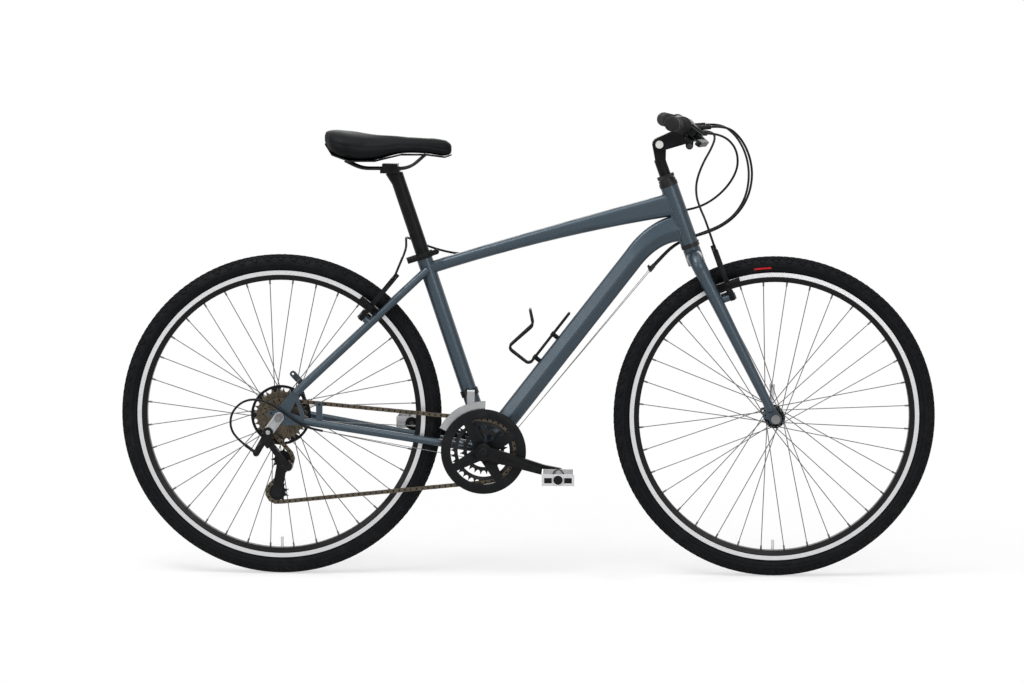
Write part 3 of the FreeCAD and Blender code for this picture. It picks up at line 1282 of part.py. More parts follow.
def chain_joints():
    """Return the chain's pin centres, evenly spaced round its loop."""
    stretches = chain_stretches()
    total = sum(pitch_measure(radius) * sweep + (run[1] - run[0]).Length for _, radius, _, _, sweep,
        run in stretches)
    count = 2 * round(total / CHAIN_PITCH / 2)
    step = total / count
    joints = []
    travelled = 0.0
    for centre, radius, turn, start, sweep, run in stretches:
        straight = (run[1] - run[0]).Length
        measure = pitch_measure(radius)
        length = measure * sweep + straight
        while len(joints) < count and len(joints) * step < travelled + length:
            along = len(joints) * step - travelled
            angle = start + turn * along / measure
            on_arc = centre + FreeCAD.Vector(math.cos(angle), 0, math.sin(angle)) * radius
            on_run = run[0] + (run[1] - run[0]) * ((along - measure * sweep) / straight)
            joints.append(on_arc if along < measure * sweep else on_run)
        travelled += length
    return joints


CHAIN_JOINTS = chain_joints()


def valley_angle(centre, teeth):
    """Return the angle of the chain pin in the middle of a sprocket's wrap, where a valley must lie."""
    radius = pitch_radius(teeth)
    near = [joint - at_side(centre, joint.y) for joint in CHAIN_JOINTS]
    seated = [gap for gap in near if abs(gap.Length - radius) < CHAIN_PITCH / 100]
    middle = seated[len(seated) // 2] if seated else ALONG_X
    return math.degrees(math.atan2(middle.z, middle.x))


def chain():
    """Return the chain as alternate inner and outer links, each one solid."""
    plate_radius = LINK_HEIGHT / 2
    inner_mid = LINK_INNER_GAP / 2 + LINK_PLATE / 2
    outer_mid = LINK_INNER_GAP / 2 + LINK_PLATE + TURN_FIT + LINK_PLATE / 2
    first, second = ORIGIN, ALONG_X * CHAIN_PITCH
    ends = [first, second]

    def plates(offset):
        radii = [plate_radius, plate_radius]
        shift = ALONG_Y * offset
        return [strap([end + shift * side for end in ends], radii, ALONG_Y, LINK_PLATE) for side in (-1, 1)]

    width = 2 * (outer_mid + LINK_PLATE / 2)
    rollers = [disc(end, ALONG_Y, ROLLER_RADIUS, LINK_INNER_GAP) for end in ends]
    bores = [disc(end, ALONG_Y, PIN_RADIUS + TURN_FIT, 2 * width) for end in ends]
    inner = joined(plates(inner_mid) + rollers).cut(Part.makeCompound(bores))
    outer = joined(plates(outer_mid) + [disc(end, ALONG_Y, PIN_RADIUS, width) for end in ends])
    links = []
    for index, joint in enumerate(CHAIN_JOINTS):
        gap = CHAIN_JOINTS[(index + 1) % len(CHAIN_JOINTS)] - joint
        link = (inner if index % 2 == 0 else outer).copy()
        turn = FreeCAD.Rotation(ALONG_Y, -math.degrees(math.atan2(gap.z, gap.x)))
        link.Placement = FreeCAD.Placement(joint, turn)
        links.append(link)
    return links


def freewheel():
    """Return the seven cogs on their core."""
    first = CHAIN_LINE + COG_IN_USE * COG_STEP
    half = COG_THICKNESS / 2
    last = first - (len(COG_TEETH) - 1) * COG_STEP
    core_out, core_in = at_side(REAR_AXLE, -first - half), at_side(REAR_AXLE, -REAR_HUB_RIGHT - RUNNING_GAP)
    shapes = [sleeve(core_out, core_in, FREEWHEEL_CORE, LOCKNUT_FLAT + 2 * RUNNING_GAP)]
    for index, teeth in enumerate(COG_TEETH):
        centre = at_side(REAR_AXLE, -first + index * COG_STEP)
        cog = toothed_disc(centre, teeth, COG_THICKNESS, valley_angle(centre, teeth))
        shapes.append(cog.cut(disc(centre, ALONG_Y, FREEWHEEL_CORE + WELD_GAP, OVERRUN)))
    return shapes


CRANK_ALONG = slope(CRANK_ANGLE)


def spider_spots(radius, side):
    """Return the spider's bolt places at a radius, at equal angles to both sides of the crank."""
    first = CRANK_ANGLE + 180.0 / SPIDER_ARMS
    return circle_points(at_side(BRACKET, side), radius, SPIDER_ARMS, first)


def chainring(teeth, side, bolt_circle):
    """Return one chainring with tabs and holes for its bolts."""
    centre = at_side(BRACKET, side)
    plate = toothed_disc(centre, teeth, RING_THICKNESS, valley_angle(centre, teeth))
    plate = plate.cut(disc(centre, ALONG_Y, pitch_radius(teeth) - RING_BAND, OVERRUN))
    reach = pitch_radius(teeth) - RING_BAND
    tabs, holes = [], []
    for spot, angle in spider_spots(bolt_circle, side):
        root = centre + slope(angle) * reach
        tabs.append(strap([root, spot], [RING_TAB_RADIUS / 2, RING_TAB_RADIUS], ALONG_Y, RING_THICKNESS))
        holes.append(disc(spot, ALONG_Y, RING_BOLT_RADIUS + TURN_FIT, OVERRUN))
    return joined([plate] + tabs).cut(Part.makeCompound(holes))


def chainrings():
    """Return the three chainrings and the bolts that hold them to the spider."""
    sides = [-CHAIN_LINE - RING_STEP, -CHAIN_LINE, -CHAIN_LINE + RING_STEP]
    circles = [RING_BOLT_CIRCLE, RING_BOLT_CIRCLE, INNER_BOLT_CIRCLE]
    shapes = [chainring(*values) for values in zip(RING_TEETH, sides, circles)]
    spider = spider_side()
    for circle, low, high in ((RING_BOLT_CIRCLE, sides[0], sides[1]), (INNER_BOLT_CIRCLE, spider, sides[2])):
        for spot, angle in spider_spots(circle, 0):
            start = at_side(spot, low - RING_THICKNESS)
            shapes.append(rod(start, at_side(spot, high + RING_THICKNESS), RING_BOLT_RADIUS))
    return shapes


def spider_side():
    """Return how far across the bike the spider's middle lies."""
    return -CHAIN_LINE - RING_STEP / 2


def crank_arms():
    """Return the right crank with its spider, and the left crank."""
    arm_side = CRANK_FACE + CRANK_THICKNESS / 2
    arms = []
    for sign in (-1, 1):
        centre = at_side(BRACKET, sign * arm_side)
        eye = centre + CRANK_ALONG * (-sign * CRANK_LENGTH)
        waist = centre + (eye - centre) * 0.8
        radii = [CRANK_BOSS_RADIUS * 0.8, CRANK_WAIST, CRANK_EYE_RADIUS]
        arm = strap([centre, waist, eye], radii, ALONG_Y, CRANK_THICKNESS)
        inner = abs(spider_side()) - SPIDER_THICKNESS / 2 if sign < 0 else SHELL_WIDTH / 2 + OVERRUN
        boss = rod(at_side(BRACKET, sign * inner), at_side(BRACKET, sign * (CRANK_FACE + CRANK_THICKNESS)),
            CRANK_BOSS_RADIUS)
        pieces = [arm, boss]
        if sign < 0:
            spots = spider_spots(RING_BOLT_CIRCLE, spider_side())
            radii = [SPIDER_WIDTH / 2, RING_TAB_RADIUS]
            hub_spot = at_side(BRACKET, spider_side())
            pieces += [strap([hub_spot, spot], radii, ALONG_Y, SPIDER_THICKNESS) for spot, angle in spots]
        crank = joined(pieces)
        crank = crank.cut(disc(at_side(BRACKET, 0), ALONG_Y, SPINDLE_RADIUS + WELD_GAP, 4 * CRANK_FACE))
        crank = crank.cut(disc(eye, ALONG_Y, PEDAL_AXLE_RADIUS + TURN_FIT, OVERRUN))
        if sign < 0:
            holes = [disc(spot, ALONG_Y, RING_BOLT_RADIUS + TURN_FIT, OVERRUN) for spot, angle in spots]
            inner_spots = spider_spots(INNER_BOLT_CIRCLE, spider_side())
            holes += [disc(spot, ALONG_Y, RING_BOLT_RADIUS + TURN_FIT, OVERRUN) for spot,
                angle in inner_spots]
            crank = crank.cut(Part.makeCompound(holes))
        arms.append(crank)
    return arms


def crank_axle():
    """Return the crank spindle."""
    spindle = disc(BRACKET, ALONG_Y, SPINDLE_RADIUS, 2 * SPINDLE_HALF)
    return [spindle]


def bottom_bracket():
    """Return the bearing cartridge in the bracket shell."""
    return [ring(BRACKET, ALONG_Y, SHELL_BORE - WELD_GAP, SPINDLE_RADIUS + TURN_FIT,
        SHELL_WIDTH + 2 * CARTRIDGE_GAP)]


def chain_guard():
    """Return the plastic guard ring with four arms about the crank's boss."""
    centre = at_side(BRACKET, -GUARD_OFFSET - GUARD_THICKNESS / 2)
    band = ring(centre, ALONG_Y, GUARD_RADIUS, GUARD_RADIUS - GUARD_BAND, GUARD_THICKNESS)
    collar_radius = CRANK_BOSS_RADIUS + GUARD_THICKNESS
    pieces = [band, disc(centre, ALONG_Y, collar_radius, GUARD_THICKNESS)]
    for spot, angle in spider_spots(GUARD_RADIUS - GUARD_BAND / 2, centre.y):
        pieces.append(strap([centre, spot], [SPIDER_WIDTH, SPIDER_WIDTH / 2], ALONG_Y, GUARD_THICKNESS))
    return [joined(pieces).cut(disc(centre, ALONG_Y, CRANK_BOSS_RADIUS + WELD_GAP, OVERRUN))]


def pedal(sign):
    """Return one pedal: axle in the crank's eye, barrel, and a cage with end and side plates."""
    outer_face = CRANK_FACE + CRANK_THICKNESS
    eye = BRACKET + CRANK_ALONG * (-sign * CRANK_LENGTH)
    near, far = outer_face + PEDAL_GAP, outer_face + PEDAL_GAP + PEDAL_LENGTH
    axle = rod(at_side(eye, sign * CRANK_FACE), at_side(eye, sign * far), PEDAL_AXLE_RADIUS)
    near_spot, far_spot = at_side(eye, sign * near), at_side(eye, sign * far)
    barrel = sleeve(near_spot, far_spot, PEDAL_BARREL_RADIUS, PEDAL_AXLE_RADIUS + WELD_GAP)
    middle = (near_spot + far_spot) / 2
    cage = []
    for end in (-1, 1):
        spot = middle + ALONG_Y * (end * (PEDAL_LENGTH - PEDAL_PLATE) / 2)
        plate = block(spot, ALONG_X, ALONG_Y, PEDAL_DEPTH, PEDAL_PLATE, PEDAL_HEIGHT)
        cage.append(plate)
        side = middle + ALONG_X * (end * (PEDAL_DEPTH - PEDAL_PLATE) / 2)
        cage.append(block(side, ALONG_X, ALONG_Y, PEDAL_PLATE, PEDAL_LENGTH, PEDAL_HEIGHT))
    frame = joined(cage)
    frame = frame.cut(rod(near_spot, far_spot, PEDAL_BARREL_RADIUS + WELD_GAP))
    return [axle, barrel, frame]


# Brakes
def brake_arm(axle, angle):
    """Return the right brake arm, its pad with post and nuts, and the noodle that it carries."""
    out, point = brake_frame(axle, angle)
    pivot = at_side(axle + out * STUD_DISTANCE, -STUD_HALF)
    elbow = pivot + out * (BRAKE_ARM_LENGTH / 2) - ALONG_Y * (BRAKE_TIP_RADIUS / 2)
    tip = pivot + out * BRAKE_ARM_LENGTH + ALONG_Y * BRAKE_TIP_RADIUS
    radii = [BRAKE_BOSS_RADIUS, BRAKE_TIP_RADIUS, BRAKE_TIP_RADIUS]
    arm = strap([pivot, elbow, tip], radii, point, BRAKE_ARM_THICKNESS)
    arm = arm.cut(disc(pivot, point, STUD_RADIUS + TURN_FIT, OVERRUN))
    pad_face = RIM_HALF + PAD_GAP
    pad_middle = at_side(axle + out * PAD_CIRCLE, -pad_face - PAD_THICKNESS / 2)
    pad = block(pad_middle, point, ALONG_Y, PAD_LENGTH, PAD_THICKNESS, PAD_HEIGHT)
    post_in, post_out = -pad_face - PAD_THICKNESS / 2, -STUD_HALF - 2 * BRAKE_BOSS_RADIUS
    post = rod(at_side(pad_middle, post_in), at_side(pad_middle, post_out), PAD_POST_RADIUS)
    nut_face = -STUD_HALF - BRAKE_BOSS_RADIUS - RUNNING_GAP
    nut = rod(at_side(pad_middle, nut_face), at_side(pad_middle, nut_face - PAD_NUT_RADIUS), PAD_NUT_RADIUS)
    arm = arm.cut(rod(at_side(pad_middle, 0), at_side(pad_middle, post_out - OVERRUN),
        PAD_POST_RADIUS + WELD_GAP))
    arm = arm.cut(rod(at_side(pad_middle, nut_face), at_side(pad_middle, nut_face - OVERRUN),
        PAD_NUT_RADIUS + WELD_GAP))
    return largest(arm), joined([pad, post, nut])


def noodle(axle, angle, lean):
    """Return the bent cable guide on the right arm's tip; lean is the way its upper end points."""
    out, point = brake_frame(axle, angle)
    tip = at_side(axle + out * (STUD_DISTANCE + BRAKE_ARM_LENGTH), -STUD_HALF + BRAKE_TIP_RADIUS)
    start = tip + out * (BRAKE_TIP_RADIUS + NOODLE_RADIUS + WELD_GAP) + ALONG_Y * BRAKE_TIP_RADIUS
    corner = start - ALONG_Y * (2 * NOODLE_BEND)
    return bent_rod([start, corner, corner + unit(lean) * (2 * NOODLE_RISE)], NOODLE_RADIUS, NOODLE_BEND)


# Controls
def control_pod():
    """Return the right control: clamp, shifter pod, lever bracket and two cable barrels."""
    clamp_out = GRIP_LENGTH + POD_GRIP_GAP
    clamp_in = clamp_out + POD_CLAMP_WIDTH
    pod_in = clamp_in + POD_DEPTH
    body = [rod(bar_spot(clamp_out), bar_spot(pod_in), POD_CLAMP_RADIUS)]
    pod_mid = bar_spot((clamp_in + pod_in) / 2, POD_CLAMP_RADIUS, 0)
    body.append(block(pod_mid, BAR_OUT, LEVER_FORE, POD_DEPTH, POD_HEIGHT, POD_CLAMP_RADIUS * 1.6))
    bracket_mid = bar_spot(lever_pivot_inward(), LEVER_PIVOT_REACH / 2, 0)
    width, height = LEVER_PIVOT_REACH + 4 * LEVER_RADIUS / 3, bracket_height()
    body.append(block(bracket_mid, LEVER_FORE, BAR_OUT, width, POD_CLAMP_WIDTH, height))
    body.append(rod(brake_barrel(0), brake_barrel(1), 2 * HOUSING_RADIUS))
    body.append(rod(shift_barrel(0), shift_barrel(1), 2 * HOUSING_RADIUS))
    whole = joined(body)
    whole = whole.cut(rod(bar_spot(0), bar_spot(pod_in + OVERRUN), BAR_RADIUS + WELD_GAP))
    slot_half = LEVER_RADIUS + RUNNING_GAP
    slot_back = LEVER_PIVOT_REACH - 1.3 * LEVER_RADIUS - LEVER_RELIEF
    slot_mid = bar_spot(lever_pivot_inward() - OVERRUN / 4, slot_back + 3 * LEVER_RADIUS, 0)
    slot = block(slot_mid, LEVER_FORE, BAR_OUT, 6 * LEVER_RADIUS, 2 * OVERRUN, 2 * slot_half)
    pin_spot = bar_spot(lever_pivot_inward(), LEVER_PIVOT_REACH, 0)
    pins = [disc(pin_spot, LEVER_UP, LEVER_PIN_RADIUS, bracket_height())]
    pins.append(disc(shift_pivot(), LEVER_UP, SHIFT_PIN_RADIUS, 3 * SHIFT_LEVER_THICKNESS))
    return largest(joined([whole.cut(slot)] + pins))


def bracket_height():
    """Return how tall the lever bracket is."""
    return 2 * LEVER_RADIUS + LEVER_RADIUS


def lever_pivot_inward():
    """Return how far in from the handlebar's end the brake lever's pivot lies."""
    return GRIP_LENGTH + POD_GRIP_GAP + POD_CLAMP_WIDTH / 2


def brake_barrel(share):
    """Return a point along the brake cable's barrel on the right bracket."""
    start = bar_spot(lever_pivot_inward() + POD_CLAMP_WIDTH / 3, LEVER_PIVOT_REACH - 2 * LEVER_RADIUS, 0)
    return start + unit(LEVER_FORE * 0.5 - BAR_OUT + LEVER_UP * 0.4) * (share * POD_REACH)


def shift_barrel(share):
    """Return a point along the shift cable's barrel on the right pod."""
    start = bar_spot(lever_pivot_inward() + POD_DEPTH, POD_CLAMP_RADIUS, LEVER_RADIUS)
    return start + unit(LEVER_FORE + LEVER_UP * 0.9 - BAR_OUT * 0.5) * (share * POD_REACH)


def brake_lever():
    """Return the right brake lever: an eye on the pivot and a long blade beside the grip."""
    eye = bar_spot(lever_pivot_inward(), LEVER_PIVOT_REACH, 0)
    knee = bar_spot(lever_pivot_inward() - 3 * LEVER_RADIUS, LEVER_OFFSET, 0)
    tip = bar_spot(lever_pivot_inward() - LEVER_LENGTH, LEVER_OFFSET + LEVER_RADIUS, 0)
    radii = [1.3 * LEVER_RADIUS, LEVER_RADIUS, LEVER_RADIUS]
    blade_bar = strap([eye, knee, tip], radii, LEVER_UP, 2 * LEVER_RADIUS)
    return blade_bar.cut(disc(eye, LEVER_UP, LEVER_PIN_RADIUS + TURN_FIT, 2 * OVERRUN))


def shift_pivot():
    """Return the middle of the right shift lever's pivot, under the pod."""
    drop = POD_CLAMP_RADIUS * 0.8 + SHIFT_LEVER_THICKNESS / 2 + RUNNING_GAP
    return bar_spot(lever_pivot_inward() + POD_DEPTH * 0.75, POD_CLAMP_RADIUS * 1.4, -drop)


def shift_lever():
    """Return the right thumb lever on its pin."""
    pivot = shift_pivot()
    tip = pivot + unit(BAR_OUT + LEVER_FORE * 0.15) * SHIFT_LEVER_LENGTH
    radii = [SHIFT_LEVER_RADIUS, SHIFT_LEVER_RADIUS * 1.3]
    arm = strap([pivot, tip], radii, LEVER_UP, SHIFT_LEVER_THICKNESS)
    return arm.cut(disc(pivot, LEVER_UP, SHIFT_PIN_RADIUS + TURN_FIT, OVERRUN))


# Rear derailleur
LINK_ALONG = slope(REAR_LINK_ANGLE)
LINK_AXIS = slope(REAR_LINK_ANGLE + 90.0)
HANGER_BOLT = REAR_AXLE + FreeCAD.Vector(-HANGER_BACK, 0, -HANGER_DROP)
LINK_TOP = HANGER_BOLT + FreeCAD.Vector(BODY_FORWARD, 0, -BODY_DROP)
LINK_FOOT = LINK_TOP + LINK_ALONG * REAR_LINK_LENGTH
CAGE_PIVOT = LINK_FOOT + LINK_ALONG * LINK_YOKE
HANGER_FACE = REAR_FACE + HANGER_THICKNESS
BODY_SIDE = HANGER_FACE + RUNNING_GAP + BODY_THICKNESS / 2
CAGE_OUTER = CHAIN_LINE + CAGE_PLATE_HALF + CAGE_PLATE


def derailleur_hanger():
    """Return the claw plate under the right axle nut, with the bolt that carries the derailleur."""
    side = -REAR_FACE - HANGER_THICKNESS / 2
    axle, foot = at_side(REAR_AXLE, side), at_side(HANGER_BOLT, side)
    plate = strap([axle, foot], [HANGER_RADIUS, HANGER_RADIUS], ALONG_Y, HANGER_THICKNESS)
    plate = plate.cut(disc(axle, ALONG_Y, AXLE_RADIUS + WELD_GAP, OVERRUN))
    shank = rod(foot, at_side(foot, -BODY_SIDE - BODY_THICKNESS / 2), HANGER_BOLT_RADIUS)
    return [joined([plate, shank])]


def link_sides():
    """Return how far across the bike the outer and the inner link lie."""
    return [-LINK_SIDE - LINK_SPREAD / 2, -LINK_SIDE + LINK_SPREAD / 2]


def link_cheeks(spot):
    """Return the two cheeks beside the links at one end of the parallelogram."""
    outer, inner = [at_side(spot, side) for side in link_sides()]
    offset = LINK_WIDTH / 2 + RUNNING_GAP + LINK_CHEEK / 2
    radii = [LINK_BAR, LINK_BAR]
    return [
        strap([outer + LINK_AXIS * (sign * offset), inner + LINK_AXIS * (sign * offset)], radii, LINK_AXIS,
            LINK_CHEEK)
        for sign in (-1, 1)
    ]


def link_room(pivot, far):
    """Return the space that both links need at one end of the parallelogram, over their swing."""
    rooms = []
    for side in link_sides():
        ends = [at_side(pivot, side), at_side(far, side)]
        radii = [LINK_BAR + RUNNING_GAP, LINK_BAR + RUNNING_GAP]
        room = strap(ends, radii, LINK_AXIS, LINK_WIDTH + 2 * RUNNING_GAP)
        for swing in LINK_SWINGS:
            swung = room.copy()
            swung.rotate(ends[0], LINK_AXIS, swing)
            rooms.append(swung)
    return joined(rooms)


def link_pins(spot):
    """Return the two pins that carry the links at one end of the parallelogram."""
    span = LINK_WIDTH + 2 * RUNNING_GAP + 2 * LINK_CHEEK
    return [disc(at_side(spot, side), LINK_AXIS, LINK_PIN_RADIUS, span) for side in link_sides()]


def yoke(spot, sign):
    """Return the block that joins two cheeks, on the far side of their pins from the links."""
    centre = at_side(spot + LINK_ALONG * (sign * LINK_YOKE), -LINK_SIDE)
    length = LINK_YOKE
    wide = LINK_SPREAD + 2 * LINK_BAR
    span = LINK_WIDTH + 2 * RUNNING_GAP + 2 * LINK_CHEEK
    near = at_side(spot + LINK_ALONG * (sign * LINK_YOKE / 2), -LINK_SIDE)
    offset = LINK_WIDTH / 2 + RUNNING_GAP + LINK_CHEEK / 2
    sides = [block(near + LINK_AXIS * (end * offset), LINK_ALONG, ALONG_Y, length, wide,
        LINK_CHEEK) for end in (-1, 1)]
    return [block(centre, LINK_ALONG, ALONG_Y, length / 2, wide, span)] + sides


def rear_derailleur_body():
    """Return the upper knuckle, bolted to the claw, with its cable adjuster."""
    top = at_side(HANGER_BOLT, -BODY_SIDE)
    low = at_side(LINK_TOP - LINK_ALONG * LINK_YOKE, -BODY_SIDE)
    knuckle = strap([top, low], [HANGER_RADIUS, LINK_YOKE], ALONG_Y, BODY_THICKNESS)
    adjuster = at_side(HANGER_BOLT + FreeCAD.Vector(-ADJUSTER_BACK, 0, -ADJUSTER_DROP), -BODY_SIDE)
    arm = strap([top, adjuster], [LINK_YOKE, 2 * ADJUSTER_RADIUS], ALONG_Y, BODY_THICKNESS / 2)
    barrel = rod(adjuster, adjuster + slope(ADJUSTER_ANGLE) * ADJUSTER_LENGTH, ADJUSTER_RADIUS)
    whole = joined([knuckle, arm, barrel] + link_cheeks(LINK_TOP) + yoke(LINK_TOP, -1))
    whole = joined([whole.cut(link_room(LINK_TOP, LINK_FOOT))] + link_pins(LINK_TOP))
    return [whole.cut(disc(top, ALONG_Y, HANGER_BOLT_RADIUS + WELD_GAP, 2 * OVERRUN))]


def derailleur_link(side):
    """Return one link of the parallelogram."""
    ends = [at_side(LINK_TOP, side), at_side(LINK_FOOT, side)]
    bar = strap(ends, [LINK_BAR, LINK_BAR], LINK_AXIS, LINK_WIDTH)
    holes = [disc(end, LINK_AXIS, LINK_PIN_RADIUS + TURN_FIT, 2 * OVERRUN) for end in ends]
    return [bar.cut(Part.makeCompound(holes))]


def rear_derailleur_knuckle():
    """Return the lower knuckle with the pin that carries the cage."""
    outer = -LINK_SIDE - LINK_SPREAD / 2 - LINK_BAR
    face = -CAGE_OUTER - RUNNING_GAP
    barrel = rod(at_side(CAGE_PIVOT, outer), at_side(CAGE_PIVOT, face), CAGE_PIVOT_RADIUS)
    pin = rod(at_side(CAGE_PIVOT, face), at_side(CAGE_PIVOT, face + RUNNING_GAP + CAGE_PLATE),
        CAGE_PIN_RADIUS)
    whole = joined([barrel, pin] + link_cheeks(LINK_FOOT) + yoke(LINK_FOOT, 1))
    return [joined([whole.cut(link_room(LINK_FOOT, LINK_TOP))] + link_pins(LINK_FOOT))]


def rear_derailleur_cage():
    """Return the two cage plates and the pulley pins between them."""
    plate_mid = CAGE_PLATE_HALF + CAGE_PLATE / 2
    outer, inner = -CHAIN_LINE - plate_mid, -CHAIN_LINE + plate_mid
    radii = [CAGE_PIVOT_RADIUS, CAGE_PLATE_RADIUS, CAGE_PLATE_RADIUS]
    outer_spots = [at_side(spot, outer) for spot in (CAGE_PIVOT, GUIDE, TENSION)]
    outer_plate = strap(outer_spots, radii, ALONG_Y, CAGE_PLATE)
    outer_plate = outer_plate.cut(disc(outer_spots[0], ALONG_Y, CAGE_PIN_RADIUS + TURN_FIT, OVERRUN))
    inner_spots = [at_side(spot, inner) for spot in (GUIDE, TENSION)]
    inner_plate = strap(inner_spots, radii[1:], ALONG_Y, CAGE_PLATE)
    pins = [rod(start, end, CAGE_PIN_RADIUS) for start, end in zip(outer_spots[1:], inner_spots)]
    return [joined([outer_plate, inner_plate] + pins)]


def pulley(centre):
    """Return one toothed pulley with its bush."""
    valley = valley_angle(centre, PULLEY_TEETH)
    disc_shape = toothed_disc(centre, PULLEY_TEETH, PULLEY_THICKNESS, valley, PULLEY_TOOTH_SLACK)
    bush = disc(centre, ALONG_Y, PULLEY_BUSH_RADIUS, 2 * PULLEY_BUSH_HALF)
    return [joined([disc_shape, bush]).cut(disc(centre, ALONG_Y, CAGE_PIN_RADIUS + TURN_FIT, OVERRUN))]


# Front derailleur
CAGE_RADIUS = pitch_radius(RING_TEETH[0]) + TOOTH_TIP + FRONT_CAGE_GAP
FRONT_CAGE_ARM_ANGLE = 105.0
FRONT_CAGE_TOP = slope(FRONT_CAGE_ARM_ANGLE) * (CAGE_RADIUS + FRONT_CAGE_BAND)
FRONT_PIVOT = at_side(BRACKET + FRONT_CAGE_TOP, -CHAIN_LINE) + ALONG_Z * FRONT_SWING


def arc_band(centre, inner, outer, start, end, side, thickness):
    """Return a flat curved plate about a centre, between two radii and two angles."""
    middle = (start + end) / 2
    base = at_side(centre, side - thickness / 2)
    edges = [Part.Arc(*[base + slope(angle) * outer for angle in (start, middle, end)]).toShape()]
    edges.append(Part.LineSegment(base + slope(end) * outer, base + slope(end) * inner).toShape())
    edges.append(Part.Arc(*[base + slope(angle) * inner for angle in (end, middle, start)]).toShape())
    edges.append(Part.LineSegment(base + slope(start) * inner, base + slope(start) * outer).toShape())
    return Part.Face(Part.Wire(edges)).extrude(ALONG_Y * thickness)


def front_derailleur_clamp():
    """Return the band on the seat tube with the arm and pin that carry the cage."""
    middle = seat_point(FRONT_CLAMP_HEIGHT)
    band = ring(middle, SEAT_UP, SEAT_TUBE_RADIUS + FRONT_CLAMP_BAND, SEAT_TUBE_RADIUS + WELD_GAP,
        FRONT_CLAMP_WIDTH)
    gap = RUNNING_GAP + FRONT_PIN_RADIUS
    block_centre = FRONT_PIVOT - ALONG_X * (FRONT_SWING_LENGTH / 2 + gap)
    post = block(block_centre, ALONG_X, ALONG_Y, 2 * FRONT_PIN_RADIUS, 4 * FRONT_PIN_RADIUS,
        4 * FRONT_PIN_RADIUS)
    reach = abs(FRONT_PIVOT.y) - SEAT_TUBE_RADIUS
    arm_mid = block_centre + ALONG_Y * (reach / 2)
    arm = block(arm_mid, ALONG_X, ALONG_Y, 2 * FRONT_PIN_RADIUS, reach, 3 * FRONT_PIN_RADIUS)
    pin = rod(block_centre, FRONT_PIVOT + ALONG_X * (FRONT_SWING_LENGTH / 2), FRONT_PIN_RADIUS)
    whole = joined([band, post, arm, pin])
    return [whole.cut(rod(seat_point(0), seat_point(SEAT_TUBE_LENGTH), SEAT_TUBE_RADIUS + WELD_GAP))]


def front_derailleur_cage():
    """Return the cage of two curved plates, hung from its pin."""
    outer = CAGE_RADIUS + FRONT_CAGE_BAND
    offset = FRONT_CAGE_HALF + FRONT_CAGE_PLATE / 2
    limits = FRONT_CAGE_START, FRONT_CAGE_END
    plates = [
        arc_band(BRACKET, CAGE_RADIUS, outer, *limits, -CHAIN_LINE + sign * offset, FRONT_CAGE_PLATE)
        for sign in (-1, 1)
    ]
    roof_width = 2 * offset
    roof = arc_band(BRACKET, outer - FRONT_CAGE_PLATE, outer, 95.0, 118.0, -CHAIN_LINE, roof_width)
    swing_top = 2 * FRONT_PIN_RADIUS
    foot = FRONT_PIVOT - ALONG_Z * FRONT_SWING
    arm = strap([FRONT_PIVOT, foot], [swing_top, swing_top], ALONG_X, FRONT_SWING_LENGTH)
    arm = arm.cut(disc(FRONT_PIVOT, ALONG_X, FRONT_PIN_RADIUS + TURN_FIT, 2 * OVERRUN))
    arm = arm.cut(disc(at_side(BRACKET, -CHAIN_LINE), ALONG_Y, outer - FRONT_CAGE_PLATE, OVERRUN))
    return [joined(plates + [roof, arm])]


# Seat
def saddle_stations():
    """Return (share of length from the back, half width, top height, bottom height) for the seat's sections."""
    top, back_top = SADDLE_TOP, SADDLE_TOP + SADDLE_TAIL_KICK
    deep = (SADDLE_BACK_HALF - SADDLE_MID_HALF) * 1.08
    shallow = deep * 0.74
    return [
        (0.0, SADDLE_BACK_HALF * 0.5, back_top - SADDLE_NOSE_DROP / 2, top - shallow * 0.4),
        (0.06, SADDLE_BACK_HALF * 0.86, back_top, top - shallow),
        (0.2, SADDLE_BACK_HALF, back_top - SADDLE_TAIL_KICK * 0.35, top - deep),
        (0.4, SADDLE_BACK_HALF * 0.78, top + SADDLE_TAIL_KICK * 0.1, top - deep),
        (0.6, SADDLE_MID_HALF * 1.15, top, top - shallow),
        (0.8, SADDLE_MID_HALF * 0.85, top - SADDLE_NOSE_DROP * 0.3, top - shallow),
        (0.95, SADDLE_NOSE_HALF, top - SADDLE_NOSE_DROP, top - deep * 0.84),
        (1.0, SADDLE_NOSE_HALF * 0.55, top - 2.5 * SADDLE_NOSE_DROP, top - shallow),
    ]


def saddle_spot(share, side, height):
    """Return a point on a seat section."""
    return FreeCAD.Vector(SADDLE_BACK + (SADDLE_FRONT - SADDLE_BACK) * share, side, height)


